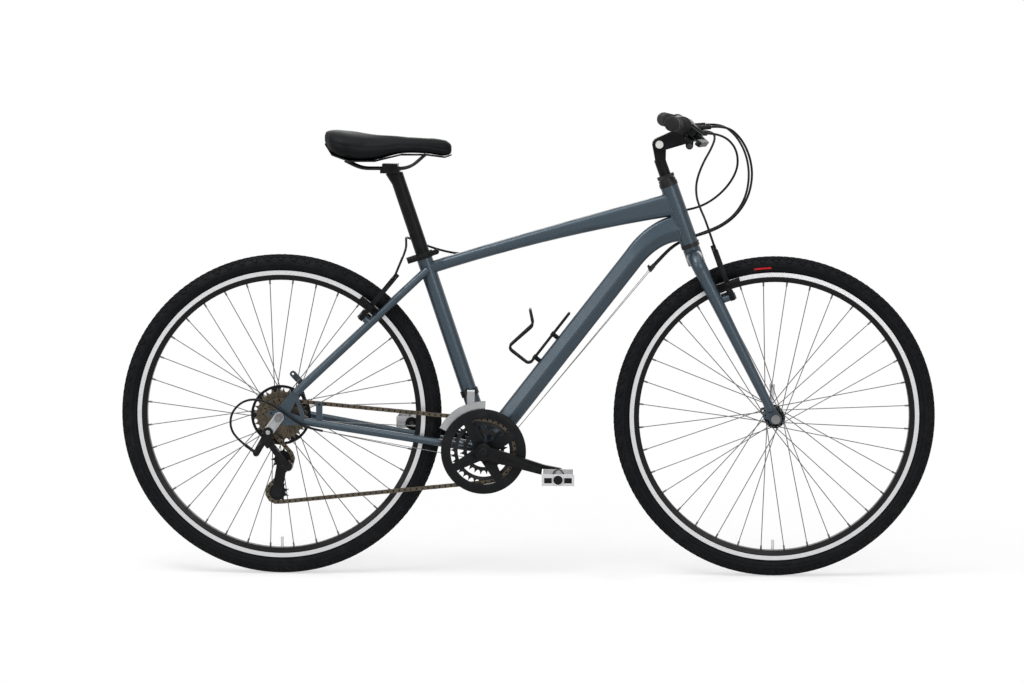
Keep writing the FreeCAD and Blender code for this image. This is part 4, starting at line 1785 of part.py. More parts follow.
def saddle_cover():
    """Return the padded cover: crowned, with drawn-in sides and a channel along the top."""
    wires = []
    for share, half, top, bottom in saddle_stations():
        rise = top - bottom
        right, left = saddle_spot(share, -half * 0.94, bottom), saddle_spot(share, half * 0.94, bottom)
        shoulder_right = saddle_spot(share, -half, bottom + rise * 0.42)
        shoulder_left = saddle_spot(share, half, bottom + rise * 0.42)
        crown_right = saddle_spot(share, -half * 0.74, bottom + rise * 0.83)
        crown_left = saddle_spot(share, half * 0.74, bottom + rise * 0.83)
        curve = Part.BSplineCurve()
        curve.interpolate([right, shoulder_right, crown_right, saddle_spot(share, 0, top), crown_left,
            shoulder_left, left])
        wires.append(Part.Wire([curve.toShape(), Part.LineSegment(left, right).toShape()]))
    cover = Part.makeLoft(wires, True, False)
    groove_radius = SADDLE_NOSE_HALF * 0.5
    shares = [(0.12, 1.0), (0.4, 0.78), (0.75, 0.75)]
    tops = [SADDLE_TOP + SADDLE_TAIL_KICK + groove_radius, SADDLE_TOP, SADDLE_TOP + groove_radius]
    points = [saddle_spot(share, 0, height + groove_radius * lift) for (share, lift),
        height in zip(shares, tops)]
    cover = cover.cut(bent_rod(points, groove_radius))
    return [largest(cover.cut(saddle_shell()).cut(Part.makeCompound([rail(sign) for sign in (-1, 1)])))]


def saddle_shell():
    """Return the plastic shell under the cover, before its rail sockets are cut."""
    wires = []
    for share, half, top, bottom in saddle_stations():
        low = bottom - RUNNING_GAP / 3
        corners = [(-half * 0.86, low), (half * 0.86, low)]
        corners += [(half * 0.8, low - SADDLE_BASE_THICKNESS), (-half * 0.8, low - SADDLE_BASE_THICKNESS)]
        points = [saddle_spot(share, side, height) for side, height in corners]
        wires.append(Part.makePolygon(points + points[:1]))
    return Part.makeLoft(wires, True, True)


def saddle_base():
    """Return the plastic shell under the cover, with sockets for the rails."""
    return [saddle_shell().cut(Part.makeCompound([rail(sign) for sign in (-1, 1)]))]


def rail(sign):
    """Return one seat rail."""
    run = (RAIL_FRONT - RAIL_BACK) / 5
    stations = saddle_stations()
    high_back, high_front = stations[2][3] - SADDLE_BASE_THICKNESS / 3, stations[5][3] - SADDLE_BASE_THICKNESS / 3
    points = [
        FreeCAD.Vector(RAIL_BACK, sign * RAIL_HALF, high_back),
        FreeCAD.Vector(RAIL_BACK + run, sign * RAIL_HALF, RAIL_HEIGHT),
        FreeCAD.Vector(RAIL_FRONT - run, sign * RAIL_HALF, RAIL_HEIGHT),
        FreeCAD.Vector(RAIL_FRONT, sign * RAIL_HALF * 0.8, high_front),
    ]
    return bent_rod(points, RAIL_RADIUS)


def seat_post():
    """Return the seat post with its head, the rail clamp plate and the clamp bolts."""
    top = seat_point(POST_TOP)
    tube = rod(seat_point(SEAT_TUBE_LENGTH - POST_DEPTH), top, SEAT_POST_RADIUS)
    inner = rod(seat_point(SEAT_TUBE_LENGTH - POST_DEPTH - OVERRUN), top - SEAT_UP * OVERRUN,
        SEAT_POST_RADIUS - POST_WALL)
    rail_spot = FreeCAD.Vector(top.x - CLAMP_SET_BACK, 0, RAIL_HEIGHT)
    width = 2 * (RAIL_HALF + 2 * RAIL_RADIUS)
    low_mid = rail_spot - ALONG_Z * (CLAMP_HEIGHT / 4 + RUNNING_GAP)
    low = block(low_mid, ALONG_X, ALONG_Y, CLAMP_LENGTH, width, CLAMP_HEIGHT / 2)
    neck = cone(top - SEAT_UP * CLAMP_HEIGHT, low_mid, SEAT_POST_RADIUS * 0.97, SEAT_POST_RADIUS * 0.85)
    high_mid = rail_spot + ALONG_Z * (CLAMP_HEIGHT / 4 + RUNNING_GAP)
    high = block(high_mid, ALONG_X, ALONG_Y, CLAMP_LENGTH * 0.8, width, CLAMP_HEIGHT / 2)
    grooves = [disc(rail_spot + ALONG_Y * (sign * RAIL_HALF), ALONG_X, RAIL_RADIUS + WELD_GAP,
        4 * OVERRUN) for sign in (-1, 1)]
    grooves = Part.makeCompound(grooves)
    return [largest(joined([tube.cut(inner), neck, low]).cut(grooves).cut(high)), high.cut(grooves)]


COLLAR_MID = seat_point(SEAT_TUBE_LENGTH - SEAT_COLLAR_HEIGHT / 2)
COLLAR_BOLT = COLLAR_MID - SEAT_FORWARD * COLLAR_EAR_REACH
COLLAR_HALF = SEAT_TUBE_RADIUS + SEAT_COLLAR_WALL


def seat_clamp():
    """Return the seat collar with its ears and cross bolt."""
    ears = strap([COLLAR_MID, COLLAR_BOLT], [SEAT_TUBE_RADIUS, SEAT_COLLAR_HEIGHT / 2], SEAT_UP,
        SEAT_COLLAR_HEIGHT)
    body = joined([disc(COLLAR_MID, SEAT_UP, COLLAR_HALF, SEAT_COLLAR_HEIGHT), ears])
    bore = rod(seat_point(SEAT_TUBE_LENGTH / 2), beyond(seat_point(SEAT_TUBE_LENGTH), SEAT_UP),
        SEAT_TUBE_RADIUS + WELD_GAP)
    slot = block(COLLAR_BOLT, SEAT_FORWARD, ALONG_Y, 2 * COLLAR_EAR_REACH, 2 * SEAT_COLLAR_WALL / 4,
        2 * SEAT_COLLAR_HEIGHT)
    bolt_shape = disc(COLLAR_BOLT, ALONG_Y, SEAT_COLLAR_WALL, 2 * COLLAR_HALF)
    body = body.cut(bore).cut(slot)
    return [joined([body, bolt_shape])]


def seat_clamp_lever():
    """Return the seat's quick-release lever, closed along the right side of the tube."""
    pivot = at_side(COLLAR_BOLT, -COLLAR_HALF - QUICK_LEVER_RADIUS)
    return [quick_lever(pivot, SEAT_FORWARD, SEAT_UP, QUICK_LEVER_LENGTH)]


def front_hub_lever():
    """Return the front quick-release lever, closed upwards on the left side."""
    pivot = at_side(FRONT_AXLE, FRONT_TAIL + AXLE_NUT_WIDTH + QUICK_LEVER_RADIUS)
    return [quick_lever(pivot, ALONG_Z, ALONG_X, QUICK_LEVER_LENGTH)]


# Bottle cage
DOWN_TUBE_NORMAL = slope(DOWN_TUBE_ANGLE + 90.0)


def cage_spot(along, out, side):
    """Return a point placed along the down tube, out from its axis and across the bike."""
    return at_side(BRACKET + DOWN_TUBE_ALONG * along + DOWN_TUBE_NORMAL * out, side)


def cage_bolts():
    """Return the places of the two cage bolts along the down tube."""
    return [CAGE_BOLT_FOOT, CAGE_BOLT_FOOT + CAGE_BOLT_SPAN]


def bottle_cage():
    """Return the bent-rod cage with two cross plates, and its two bolts."""
    back = DOWN_TUBE_SIZE / 2 + CAGE_STAND
    axis = back + CAGE_ROD_RADIUS + BOTTLE_RADIUS
    hold = BOTTLE_RADIUS + CAGE_ROD_RADIUS + RUNNING_GAP
    foot = CAGE_FOOT
    right = [
        cage_spot(foot + CAGE_LENGTH, back, -CAGE_HALF),
        cage_spot(foot, back, -CAGE_HALF),
        cage_spot(foot, back + BOTTLE_RADIUS * 1.65, -CAGE_HALF * 1.5),
        cage_spot(foot + CAGE_SIDE_RISE, axis + hold * 0.2, -hold),
        cage_spot(foot + CAGE_TOP_RISE, axis + hold * 0.85, -hold * 0.6),
    ]
    left = [FreeCAD.Vector(point.x, -point.y, point.z) for point in reversed(right)]
    frame = [bent_rod(right + left, CAGE_ROD_RADIUS, CAGE_BEND), rod(right[0], left[-1], CAGE_ROD_RADIUS)]
    frame += [ball(end, CAGE_ROD_RADIUS) for end in (right[0], left[-1])]
    bolts = []
    for along in cage_bolts():
        middle = cage_spot(along, back, 0)
        plate = block(middle, DOWN_TUBE_ALONG, ALONG_Y, 5 * CAGE_BOLT_RADIUS, 2 * CAGE_HALF,
            CAGE_PLATE_THICKNESS)
        spacer = rod(cage_spot(along, DOWN_TUBE_SIZE / 2 + WELD_GAP, 0), middle, 2 * CAGE_BOLT_RADIUS)
        frame += [plate, spacer]
        head_low = cage_spot(along, back + CAGE_PLATE_THICKNESS / 2, 0)
        shank = rod(cage_spot(along, DOWN_TUBE_SIZE / 2 - 2 * CAGE_PLATE_THICKNESS, 0), head_low,
            CAGE_BOLT_RADIUS)
        head = rod(head_low, head_low + DOWN_TUBE_NORMAL * CAGE_PLATE_THICKNESS, 2 * CAGE_BOLT_RADIUS)
        bolts.append(joined([shank, head]))
    drills = [rod(cage_spot(along, 0, 0), cage_spot(along, 2 * back, 0),
        CAGE_BOLT_RADIUS + WELD_GAP) for along in cage_bolts()]
    return [joined(frame).cut(Part.makeCompound(drills))] + bolts


# Cables
def routed(points, radius, name):
    """Return a cable along hand-placed points, and print its length, section check and tightest arc."""
    spots = [FreeCAD.Vector(*point) for point in points]
    cable = bent_rod(spots, radius)
    length, tightest = bent_path(spots)[1:]
    share = cable.Volume / (math.pi * radius ** 2 * length)
    print("cord", name, round(length), "mm, volume share", round(share, 3), "tightest arc",
        round(tightest, 1))
    return cable


def brake_wire(axle, angle):
    """Return the wire between two brake arms and the rubber boot on it."""
    out, point = brake_frame(axle, angle)
    reach = STUD_DISTANCE + BRAKE_ARM_LENGTH + BRAKE_TIP_RADIUS + NOODLE_RADIUS + WELD_GAP
    half = STUD_HALF - 2 * BRAKE_TIP_RADIUS
    middle = axle + out * reach
    left_end = half - BRAKE_TIP_RADIUS / 2
    boot = rod(at_side(middle, -half), at_side(middle, -half + BOOT_LENGTH), BOOT_RADIUS)
    return [boot, rod(at_side(middle, -half + BOOT_LENGTH), at_side(middle, left_end), WIRE_RADIUS)]


def control_cables():
    """Return every cable: housings, bare wires along the frame, and the wires between the brake arms."""
    routes = {
        "front_brake": FRONT_BRAKE_ROUTE,
        "rear_brake": REAR_BRAKE_ROUTE,
        "rear_shift": REAR_SHIFT_ROUTE,
        "front_shift": FRONT_SHIFT_ROUTE,
        "tail_shift": TAIL_SHIFT_ROUTE,
    }
    shapes = [routed(points, HOUSING_RADIUS, name) for name, points in routes.items()]
    under = -DOWN_TUBE_SIZE / 2 - WIRE_GAP
    for route in (REAR_SHIFT_ROUTE, FRONT_SHIFT_ROUTE):
        end = FreeCAD.Vector(*route[-1])
        shapes.append(rod(end, cage_spot(SHELL_RADIUS, under, end.y), WIRE_RADIUS))
    shapes.append(rod(FreeCAD.Vector(*STAY_WIRE_START), FreeCAD.Vector(*STAY_WIRE_END), WIRE_RADIUS))
    shapes.append(rod(FreeCAD.Vector(*CAGE_WIRE_START), FreeCAD.Vector(*CAGE_WIRE_END), WIRE_RADIUS))
    shapes += brake_wire(FRONT_AXLE, FRONT_BRAKE_ANGLE)
    return shapes + brake_wire(REAR_AXLE, REAR_BRAKE_ANGLE)


# Write every sub-part
def save_brakes(end, axle, angle, lean):
    """Write both arms of one brake."""
    out, point = brake_frame(axle, angle)
    arm, pad = brake_arm(axle, angle)
    save(end + "_right_brake_arm", [arm, pad, noodle(axle, angle, lean)])
    tip = at_side(axle + out * (STUD_DISTANCE + BRAKE_ARM_LENGTH + BRAKE_TIP_RADIUS),
        STUD_HALF - BRAKE_TIP_RADIUS)
    anchor = disc(tip + out * NOODLE_RADIUS, point, BRAKE_TIP_RADIUS / 2 + NOODLE_RADIUS / 2,
        BRAKE_ARM_THICKNESS)
    save(end + "_left_brake_arm", [joined([mirrored(arm), anchor]), mirrored(pad)])


def save_wheel(end, centre, left, right, left_end, right_end):
    """Write one wheel's sub-parts."""
    lines = spoke_lines(centre, left, right)
    save(end + "_rim", [drilled_rim(centre, lines)])
    save(end + "_tyre", [tyre(centre)])
    save(end + "_inner_tube", [inner_tube(centre)])
    save(end + "_spokes", spokes(lines))
    save(end + "_hub", [hub(centre, left, right, left_end, right_end, HUB_BODY_RADIUS)])


FRONT_NOODLE_LEAN = FreeCAD.Vector(-0.3, 0.35, 0.89)
REAR_NOODLE_LEAN = FreeCAD.Vector(0.35, 0.35, 0.87)

save("main_frame", main_frame())
save("rear_frame", rear_frame())
save("bottle_cage", bottle_cage())
save("headset_bearings", headset_bearings())
save("bottom_bracket", bottom_bracket())
save("fork", fork())
save("headset_locknuts", headset_locknuts())
save("stem_quill", stem_quill())
save("stem_arm", stem_arm())
save("stem_bolts", stem_bolts())
save("handlebar", handlebar())
save("handlebar_grips", handlebar_grips())
save("control_pods", [control_pod(), mirrored(control_pod())])
save("right_brake_lever", [brake_lever()])
save("left_brake_lever", [mirrored(brake_lever())])
save("right_shift_lever", [shift_lever()])
save("left_shift_lever", [mirrored(shift_lever())])
save_brakes("front", FRONT_AXLE, FRONT_BRAKE_ANGLE, FRONT_NOODLE_LEAN)
save_brakes("rear", REAR_AXLE, REAR_BRAKE_ANGLE, REAR_NOODLE_LEAN)
save_wheel("front", FRONT_AXLE, FRONT_FLANGE_HALF, FRONT_FLANGE_HALF, FRONT_HUB_END, FRONT_HUB_END)
save_wheel("rear", REAR_AXLE, REAR_FLANGE_LEFT, REAR_FLANGE_RIGHT, REAR_HUB_LEFT, REAR_HUB_RIGHT)
save("front_axle", front_axle())
save("rear_axle", rear_axle())
save("front_hub_lever", front_hub_lever())
save("spoke_protector", spoke_protector())
save("freewheel", freewheel())
save("chain", chain())
save("chainrings", chainrings())
save("chain_guard", chain_guard())
save("crank_arms", crank_arms())
save("crank_axle", crank_axle())
save("right_pedal", pedal(-1))
save("left_pedal", pedal(1))
save("derailleur_hanger", derailleur_hanger())
save("rear_derailleur_body", rear_derailleur_body())
save("rear_derailleur_outer_link", derailleur_link(link_sides()[0]))
save("rear_derailleur_inner_link", derailleur_link(link_sides()[1]))
save("rear_derailleur_knuckle", rear_derailleur_knuckle())
save("rear_derailleur_cage", rear_derailleur_cage())
save("guide_pulley", pulley(GUIDE))
save("tension_pulley", pulley(TENSION))
save("front_derailleur_clamp", front_derailleur_clamp())
save("front_derailleur_cage", front_derailleur_cage())
save("saddle_cover", saddle_cover())
save("saddle_base", saddle_base())
save("saddle_rails", [rail(-1), rail(1)])
save("seat_post", seat_post())
save("seat_clamp", seat_clamp())
save("seat_clamp_lever", seat_clamp_lever())
save("control_cables", control_cables())
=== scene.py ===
"""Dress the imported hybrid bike: finishes, tyres, cables, saddle, grips, welds, studio and camera."""

import json
import logging
import math
from dataclasses import dataclass
from enum import Enum
from typing import Iterable, Mapping, Optional, Sequence, Union

import bmesh
import bpy
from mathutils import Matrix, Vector


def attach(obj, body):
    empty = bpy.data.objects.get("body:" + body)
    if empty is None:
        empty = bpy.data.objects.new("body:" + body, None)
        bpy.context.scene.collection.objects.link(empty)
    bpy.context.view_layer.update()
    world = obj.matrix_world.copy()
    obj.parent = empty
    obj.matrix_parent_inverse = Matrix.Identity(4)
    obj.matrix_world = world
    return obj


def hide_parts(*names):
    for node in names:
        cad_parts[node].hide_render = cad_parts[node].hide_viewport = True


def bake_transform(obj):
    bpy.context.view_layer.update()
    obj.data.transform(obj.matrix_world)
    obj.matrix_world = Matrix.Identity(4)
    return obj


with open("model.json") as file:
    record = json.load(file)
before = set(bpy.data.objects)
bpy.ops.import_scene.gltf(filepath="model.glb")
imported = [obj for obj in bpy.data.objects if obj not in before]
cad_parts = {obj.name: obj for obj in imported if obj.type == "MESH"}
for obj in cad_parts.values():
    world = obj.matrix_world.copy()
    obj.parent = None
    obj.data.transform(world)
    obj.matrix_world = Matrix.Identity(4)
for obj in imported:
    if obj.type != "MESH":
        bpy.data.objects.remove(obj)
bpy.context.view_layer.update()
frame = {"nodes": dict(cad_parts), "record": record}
LOG = logging.getLogger("hybrid_bike")
MM = 0.001
Point = tuple[float, float, float]
Colour = tuple[float, float, float]
Key = Union[int, str]


class Body(str, Enum):
    """The moving bodies that added pieces ride on."""

    FRAME = "frame"
    STEERING = "steering"
    BAR = "bar"
    FRONT_WHEEL = "front_wheel"
    REAR_WHEEL = "rear_wheel"
    CRANK = "crank"
    PEDAL_RIGHT = "pedal_right"
    PEDAL_LEFT = "pedal_left"
    SEAT = "seat"
    FRONT_RIGHT_ARM = "front_right_arm"
    FRONT_LEFT_ARM = "front_left_arm"
    REAR_RIGHT_ARM = "rear_right_arm"
    REAR_LEFT_ARM = "rear_left_arm"


class Side(Enum):
    """Right is the drive side."""

    RIGHT = -1
    LEFT = 1


# Node helpers
def add_node(tree: bpy.types.NodeTree, kind: str, inputs: Optional[Mapping[Key, object]] = None,
             **settings: object) -> bpy.types.Node:
    """Add a node to a tree.

    Args:
        tree: Tree that gets the node.
        kind: Node type.
        inputs: Sockets to link or constants to set, by input name or number.
        settings: Node properties to set.

    Returns:
        The new node.
    """
    node = tree.nodes.new(kind)
    for key, value in settings.items():
        setattr(node, key, value)
    for key, value in (inputs or {}).items():
        if isinstance(value, bpy.types.NodeSocket):
            tree.links.new(value, node.inputs[key])
        else:
            node.inputs[key].default_value = value
    return node


class Shader:
    """One material's node tree, built step by step."""

    def __init__(self, name: str) -> None:
        """Start a material with an empty Principled shader."""
        self.material = bpy.data.materials.new(name)
        self.material.use_nodes = True
        self.tree = self.material.node_tree
        self.surface = self.tree.nodes["Principled BSDF"]

    def add(self, kind: str, inputs: Optional[Mapping[Key, object]] = None, **settings: object) -> bpy.types.Node:
        """Add a node, its kind given without the ShaderNode prefix."""
        return add_node(self.tree, "ShaderNode" + kind, inputs, **settings)

    def fix(self, **values: float) -> None:
        """Set constants on the surface's sockets, with underscores for spaces."""
        for key, value in values.items():
            self.surface.inputs[key.replace("_", " ")].default_value = value

    def drive(self, socket: str, value: bpy.types.NodeSocket) -> None:
        """Link a value to one of the surface's sockets."""
        self.tree.links.new(value, self.surface.inputs[socket])

    def place(self, scale: Point = (1, 1, 1), centre: Point = (0, 0, 0)) -> bpy.types.NodeSocket:
        """Return object coordinates centred on a point and stretched.

        Args:
            scale: Pattern scale along each axis.
            centre: Point in metres that becomes zero.

        Returns:
            The vector socket.
        """
        source = self.add("TexCoord").outputs["Object"]
        shift = [-c * s for c, s in zip(centre, scale)]
        return self.add("Mapping", {"Vector": source, "Location": shift, "Scale": scale}).outputs["Vector"]

    def noise(self, vector: bpy.types.NodeSocket, scale: float, detail: float = 3.0,
              rough: float = 0.55) -> bpy.types.NodeSocket:
        """Return a noise factor over the given coordinates."""
        inputs = {"Vector": vector, "Scale": scale, "Detail": detail, "Roughness": rough}
        return self.add("TexNoise", inputs).outputs["Fac"]

    def cells(self, vector: bpy.types.NodeSocket, scale: float) -> bpy.types.NodeSocket:
        """Return the distance to the nearest cell centre."""
        return self.add("TexVoronoi", {"Vector": vector, "Scale": scale}).outputs["Distance"]

    def remap(self, value: bpy.types.NodeSocket, low: float, high: float, to_low: float,
              to_high: float) -> bpy.types.NodeSocket:
        """Return a value moved from one range to another, held inside it."""
        inputs = {"Value": value, "From Min": low, "From Max": high, "To Min": to_low, "To Max": to_high}
        return self.add("MapRange", inputs).outputs["Result"]

    def math(self, operation: str, first: bpy.types.NodeSocket, second: object = 0.0) -> bpy.types.NodeSocket:
        """Return a sum of two values, the second a socket or a number."""
        return self.add("Math", {0: first, 1: second}, operation=operation).outputs[0]

    def blend(self, factor: bpy.types.NodeSocket, low: Colour, high: Colour) -> bpy.types.NodeSocket:
        """Return a colour between two colours."""
        return self.add("Mix", {0: factor, 6: (*low, 1.0), 7: (*high, 1.0)}, data_type="RGBA").outputs[2]

    def across(self, centre: Point) -> bpy.types.NodeSocket:
        """Return the distance from a crosswise axle through a point, in metres."""
        spot = self.add("SeparateXYZ", {0: self.place(centre=centre)}).outputs
        squares = [self.math("MULTIPLY", spot[axis], spot[axis]) for axis in (0, 2)]
        return self.math("SQRT", self.math("ADD", *squares))

    def bump(self, height: bpy.types.NodeSocket, distance: float, strength: float = 0.5) -> None:
        """Add relief to the surface.

        Args:
            height: Height factor.
            distance: Depth of the relief in metres.
            strength: Share of it that shows.
        """
        normal = self.surface.inputs["Normal"]
        under = {"Normal": normal.links[0].from_socket} if normal.is_linked else {}
        node = self.add("Bump", {"Strength": strength, "Distance": distance, "Height": height, **under})
        self.drive("Normal", node.outputs["Normal"])


# Finishes
@dataclass(frozen=True)
class PaintFinish:
    """Satin metallic paint under clear coat."""

    name: str
    colour: Colour
    fleck: Colour
    roughness: float = 0.36
    metallic: float = 0.5

    def material(self) -> bpy.types.Material:
        """Return the paint, with flecks, orange peel and faint rubbing."""
        shader = Shader(self.name)
        spot = shader.place()
        flecks = shader.remap(shader.noise(spot, 2600.0, 1.0), 0.52, 0.72, 0.0, 0.55)
        shader.drive("Base Color", shader.blend(flecks, self.colour, self.fleck))
        rub_and_sheen = shader.noise(spot, 26.0, 5.0)
        shader.drive("Roughness", shader.remap(rub_and_sheen, 0.3, 0.7, self.roughness - 0.06, self.roughness + 0.08))
        shader.bump(shader.noise(spot, 420.0, 1.0), 0.0002, 0.10)
        shader.fix(Metallic=self.metallic, Coat_Weight=0.4, Coat_Roughness=0.2, Specular_IOR_Level=0.3)
        return shader.material


@dataclass(frozen=True)
class MetalFinish:
    """Bare, plated or anodised metal with drawn grain."""

    name: str
    colour: Colour
    stain: Colour
    roughness: float = 0.3
    metallic: float = 1.0
    grain: Point = (1, 1, 1)
    grain_scale: float = 600.0
    depth: float = 0.00008
    level: float = 0.5

    def material(self) -> bpy.types.Material:
        """Return the metal, with grain, handling marks and uneven gloss."""
        shader = Shader(self.name)
        grain = shader.noise(shader.place(self.grain), self.grain_scale, 4.0)
        marks = shader.noise(shader.place(), 48.0, 6.0, 0.65)
        shader.drive("Base Color", shader.blend(shader.remap(marks, 0.42, 0.75, 0.0, 0.8), self.colour, self.stain))
        uneven = shader.math("ADD", shader.remap(grain, 0.3, 0.7, -0.05, 0.05),
                             shader.remap(marks, 0.35, 0.7, self.roughness - 0.04, self.roughness + 0.1))
        shader.drive("Roughness", uneven)
        shader.bump(grain, self.depth, 0.35)
        shader.fix(Metallic=self.metallic, Specular_IOR_Level=self.level)
        return shader.material


@dataclass(frozen=True)
class MouldedFinish:
    """Moulded plastic or rubber with a fine skin."""

    name: str
    colour: Colour
    dust: Colour
    roughness: float = 0.5
    pebble: float = 900.0
    depth: float = 0.00012
    level: float = 0.13

    def material(self) -> bpy.types.Material:
        """Return the moulding, with pebble, dust in patches and flow marks."""
        shader = Shader(self.name)
        spot = shader.place()
        pebble = shader.cells(spot, self.pebble)
        dust = shader.remap(shader.noise(spot, 34.0, 6.0, 0.6), 0.5, 0.8, 0.0, 0.7)
        shader.drive("Base Color", shader.blend(dust, self.colour, self.dust))
        flow = shader.noise(shader.place((1, 3, 1)), 70.0, 4.0)
        shader.drive("Roughness", shader.remap(flow, 0.3, 0.7, self.roughness - 0.07, self.roughness + 0.09))
        shader.bump(pebble, self.depth, 0.35)
        shader.fix(Specular_IOR_Level=self.level)
        return shader.material


@dataclass(frozen=True)
class RimFinish:
    """Black anodised rim with a bare machined brake band."""

    name: str
    axle: Point
    black: Colour = (0.005, 0.005, 0.0055)
    bare: Colour = (0.58, 0.58, 0.59)
    band: tuple[float, float] = (0.3075, 0.3168)

    def material(self) -> bpy.types.Material:
        """Return the rim, its band cut by distance from the axle with turning lines."""
        shader = Shader(self.name)
        radius = shader.across(self.axle)
        low, high = self.band
        inside = shader.math("MULTIPLY", shader.remap(radius, low, low + 0.0003, 0.0, 1.0),
                             shader.remap(radius, high, high + 0.0002, 1.0, 0.0))
        shader.drive("Base Color", shader.blend(inside, self.black, self.bare))
        shader.drive("Metallic", shader.remap(inside, 0.0, 1.0, 0.3, 0.9))
        shader.fix(Specular_IOR_Level=0.2)
        lines = shader.math("SINE", shader.math("MULTIPLY", radius, 9000.0))
        wear = shader.noise(shader.place(), 90.0, 5.0)
        matt = shader.math("ADD", shader.remap(wear, 0.3, 0.7, -0.05, 0.08), shader.remap(inside, 0, 1, 0.34, 0.36))
        shader.drive("Roughness", matt)
        shader.bump(shader.math("MULTIPLY", lines, inside), 0.00006, 0.3)
        return shader.material


@dataclass(frozen=True)
class PedalFinish:
    """Bare pressed cage round a black barrel."""

    name: str
    axle: Point
    barrel: float = 0.0125
    silver: Colour = (0.62, 0.62, 0.63)
    black: Colour = (0.016, 0.016, 0.017)

    def material(self) -> bpy.types.Material:
        """Return the pedal, black near its axle and silver beyond."""
        shader = Shader(self.name)
        outside = shader.remap(shader.across(self.axle), self.barrel, self.barrel + 0.0004, 0.0, 1.0)
        scuff = shader.noise(shader.place(), 160.0, 5.0, 0.65)
        worn = shader.math("MULTIPLY", outside, shader.remap(scuff, 0.35, 0.75, 1.0, 0.72))
        shader.drive("Base Color", shader.blend(worn, self.black, self.silver))
        shader.drive("Metallic", shader.remap(outside, 0.0, 1.0, 0.1, 0.95))
        shader.drive("Roughness", shader.remap(scuff, 0.3, 0.7, 0.27, 0.46))
        shader.bump(shader.noise(shader.place((1, 6, 1)), 500.0, 3.0), 0.0001, 0.3)
        return shader.material


@dataclass(frozen=True)
class TwoToneFinish:
    """Bare metal near an axle and black beyond, as on an inner tube's valve or a bolt."""

    name: str
    axle: Point
    edge: float = 0.3005
    black: Colour = (0.01, 0.01, 0.01)
    metal: Colour = (0.62, 0.61, 0.59)

    def material(self) -> bpy.types.Material:
        """Return the finish, metal where it is nearer to the axle than the edge."""
        shader = Shader(self.name)
        inside = shader.remap(shader.across(self.axle), self.edge, self.edge + 0.0004, 1.0, 0.0)
        shader.drive("Base Color", shader.blend(inside, self.black, self.metal))
        shader.drive("Metallic", inside)
        marks = shader.noise(shader.place((1, 1, 4)), 400.0, 4.0)
        shader.drive("Roughness", shader.remap(marks, 0.3, 0.7, 0.26, 0.48))
        shader.bump(marks, 0.00008, 0.3)
        return shader.material


@dataclass(frozen=True)
class SkinFinish:
    """Pebbled vinyl over foam."""

    name: str
    colour: Colour = (0.0028, 0.0032, 0.0036)
    sheen: Colour = (0.0060, 0.0068, 0.0076)

    def material(self) -> bpy.types.Material:
        """Return the skin, with pebble grain, fine wrinkles and painted sheen in lighter random patches that also vary
        the roughness.
        """
        shader = Shader(self.name)
        spot = shader.place()
        rub_and_sheen = shader.noise(spot, 22.0, 5.0)
        # Painted sheen: lighter colour in random patches, from the same noise that varies the roughness.
        shader.drive("Base Color", shader.blend(shader.remap(rub_and_sheen, 0.4, 0.75, 0, 1), self.colour, self.sheen))
        shader.drive("Roughness", shader.remap(rub_and_sheen, 0.3, 0.7, 0.40, 0.56))
        shader.bump(shader.cells(spot, 620.0), 0.0003, 0.4)
        shader.bump(shader.noise(shader.place((1, 2.4, 1)), 95.0, 4.0), 0.0005, 0.18)
        shader.fix(Specular_IOR_Level=0.08)
        return shader.material


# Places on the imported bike, in metres
REAR_AXLE: Point = (-0.541, 0.0, 0.352)
FRONT_AXLE: Point = (0.541, 0.0, 0.352)
PEDAL_AXLES: dict[Side, Point] = {Side.RIGHT: (0.0683, 0, 0.2311), Side.LEFT: (-0.2585, 0, 0.3249)}
BRACKET = Vector((-0.0951, 0.0, 0.278))
HEAD = Vector((0.3528, 0.0, 0.7315))
STEER_UP = Vector((-0.342, 0.0, 0.9397))
SEAT_UP = Vector((-0.3206, 0.0, 0.9472))
STEM_PIVOT: Point = (0.28494, 0, 0.94733)
SEAT_TUBE_RADIUS = 0.01745


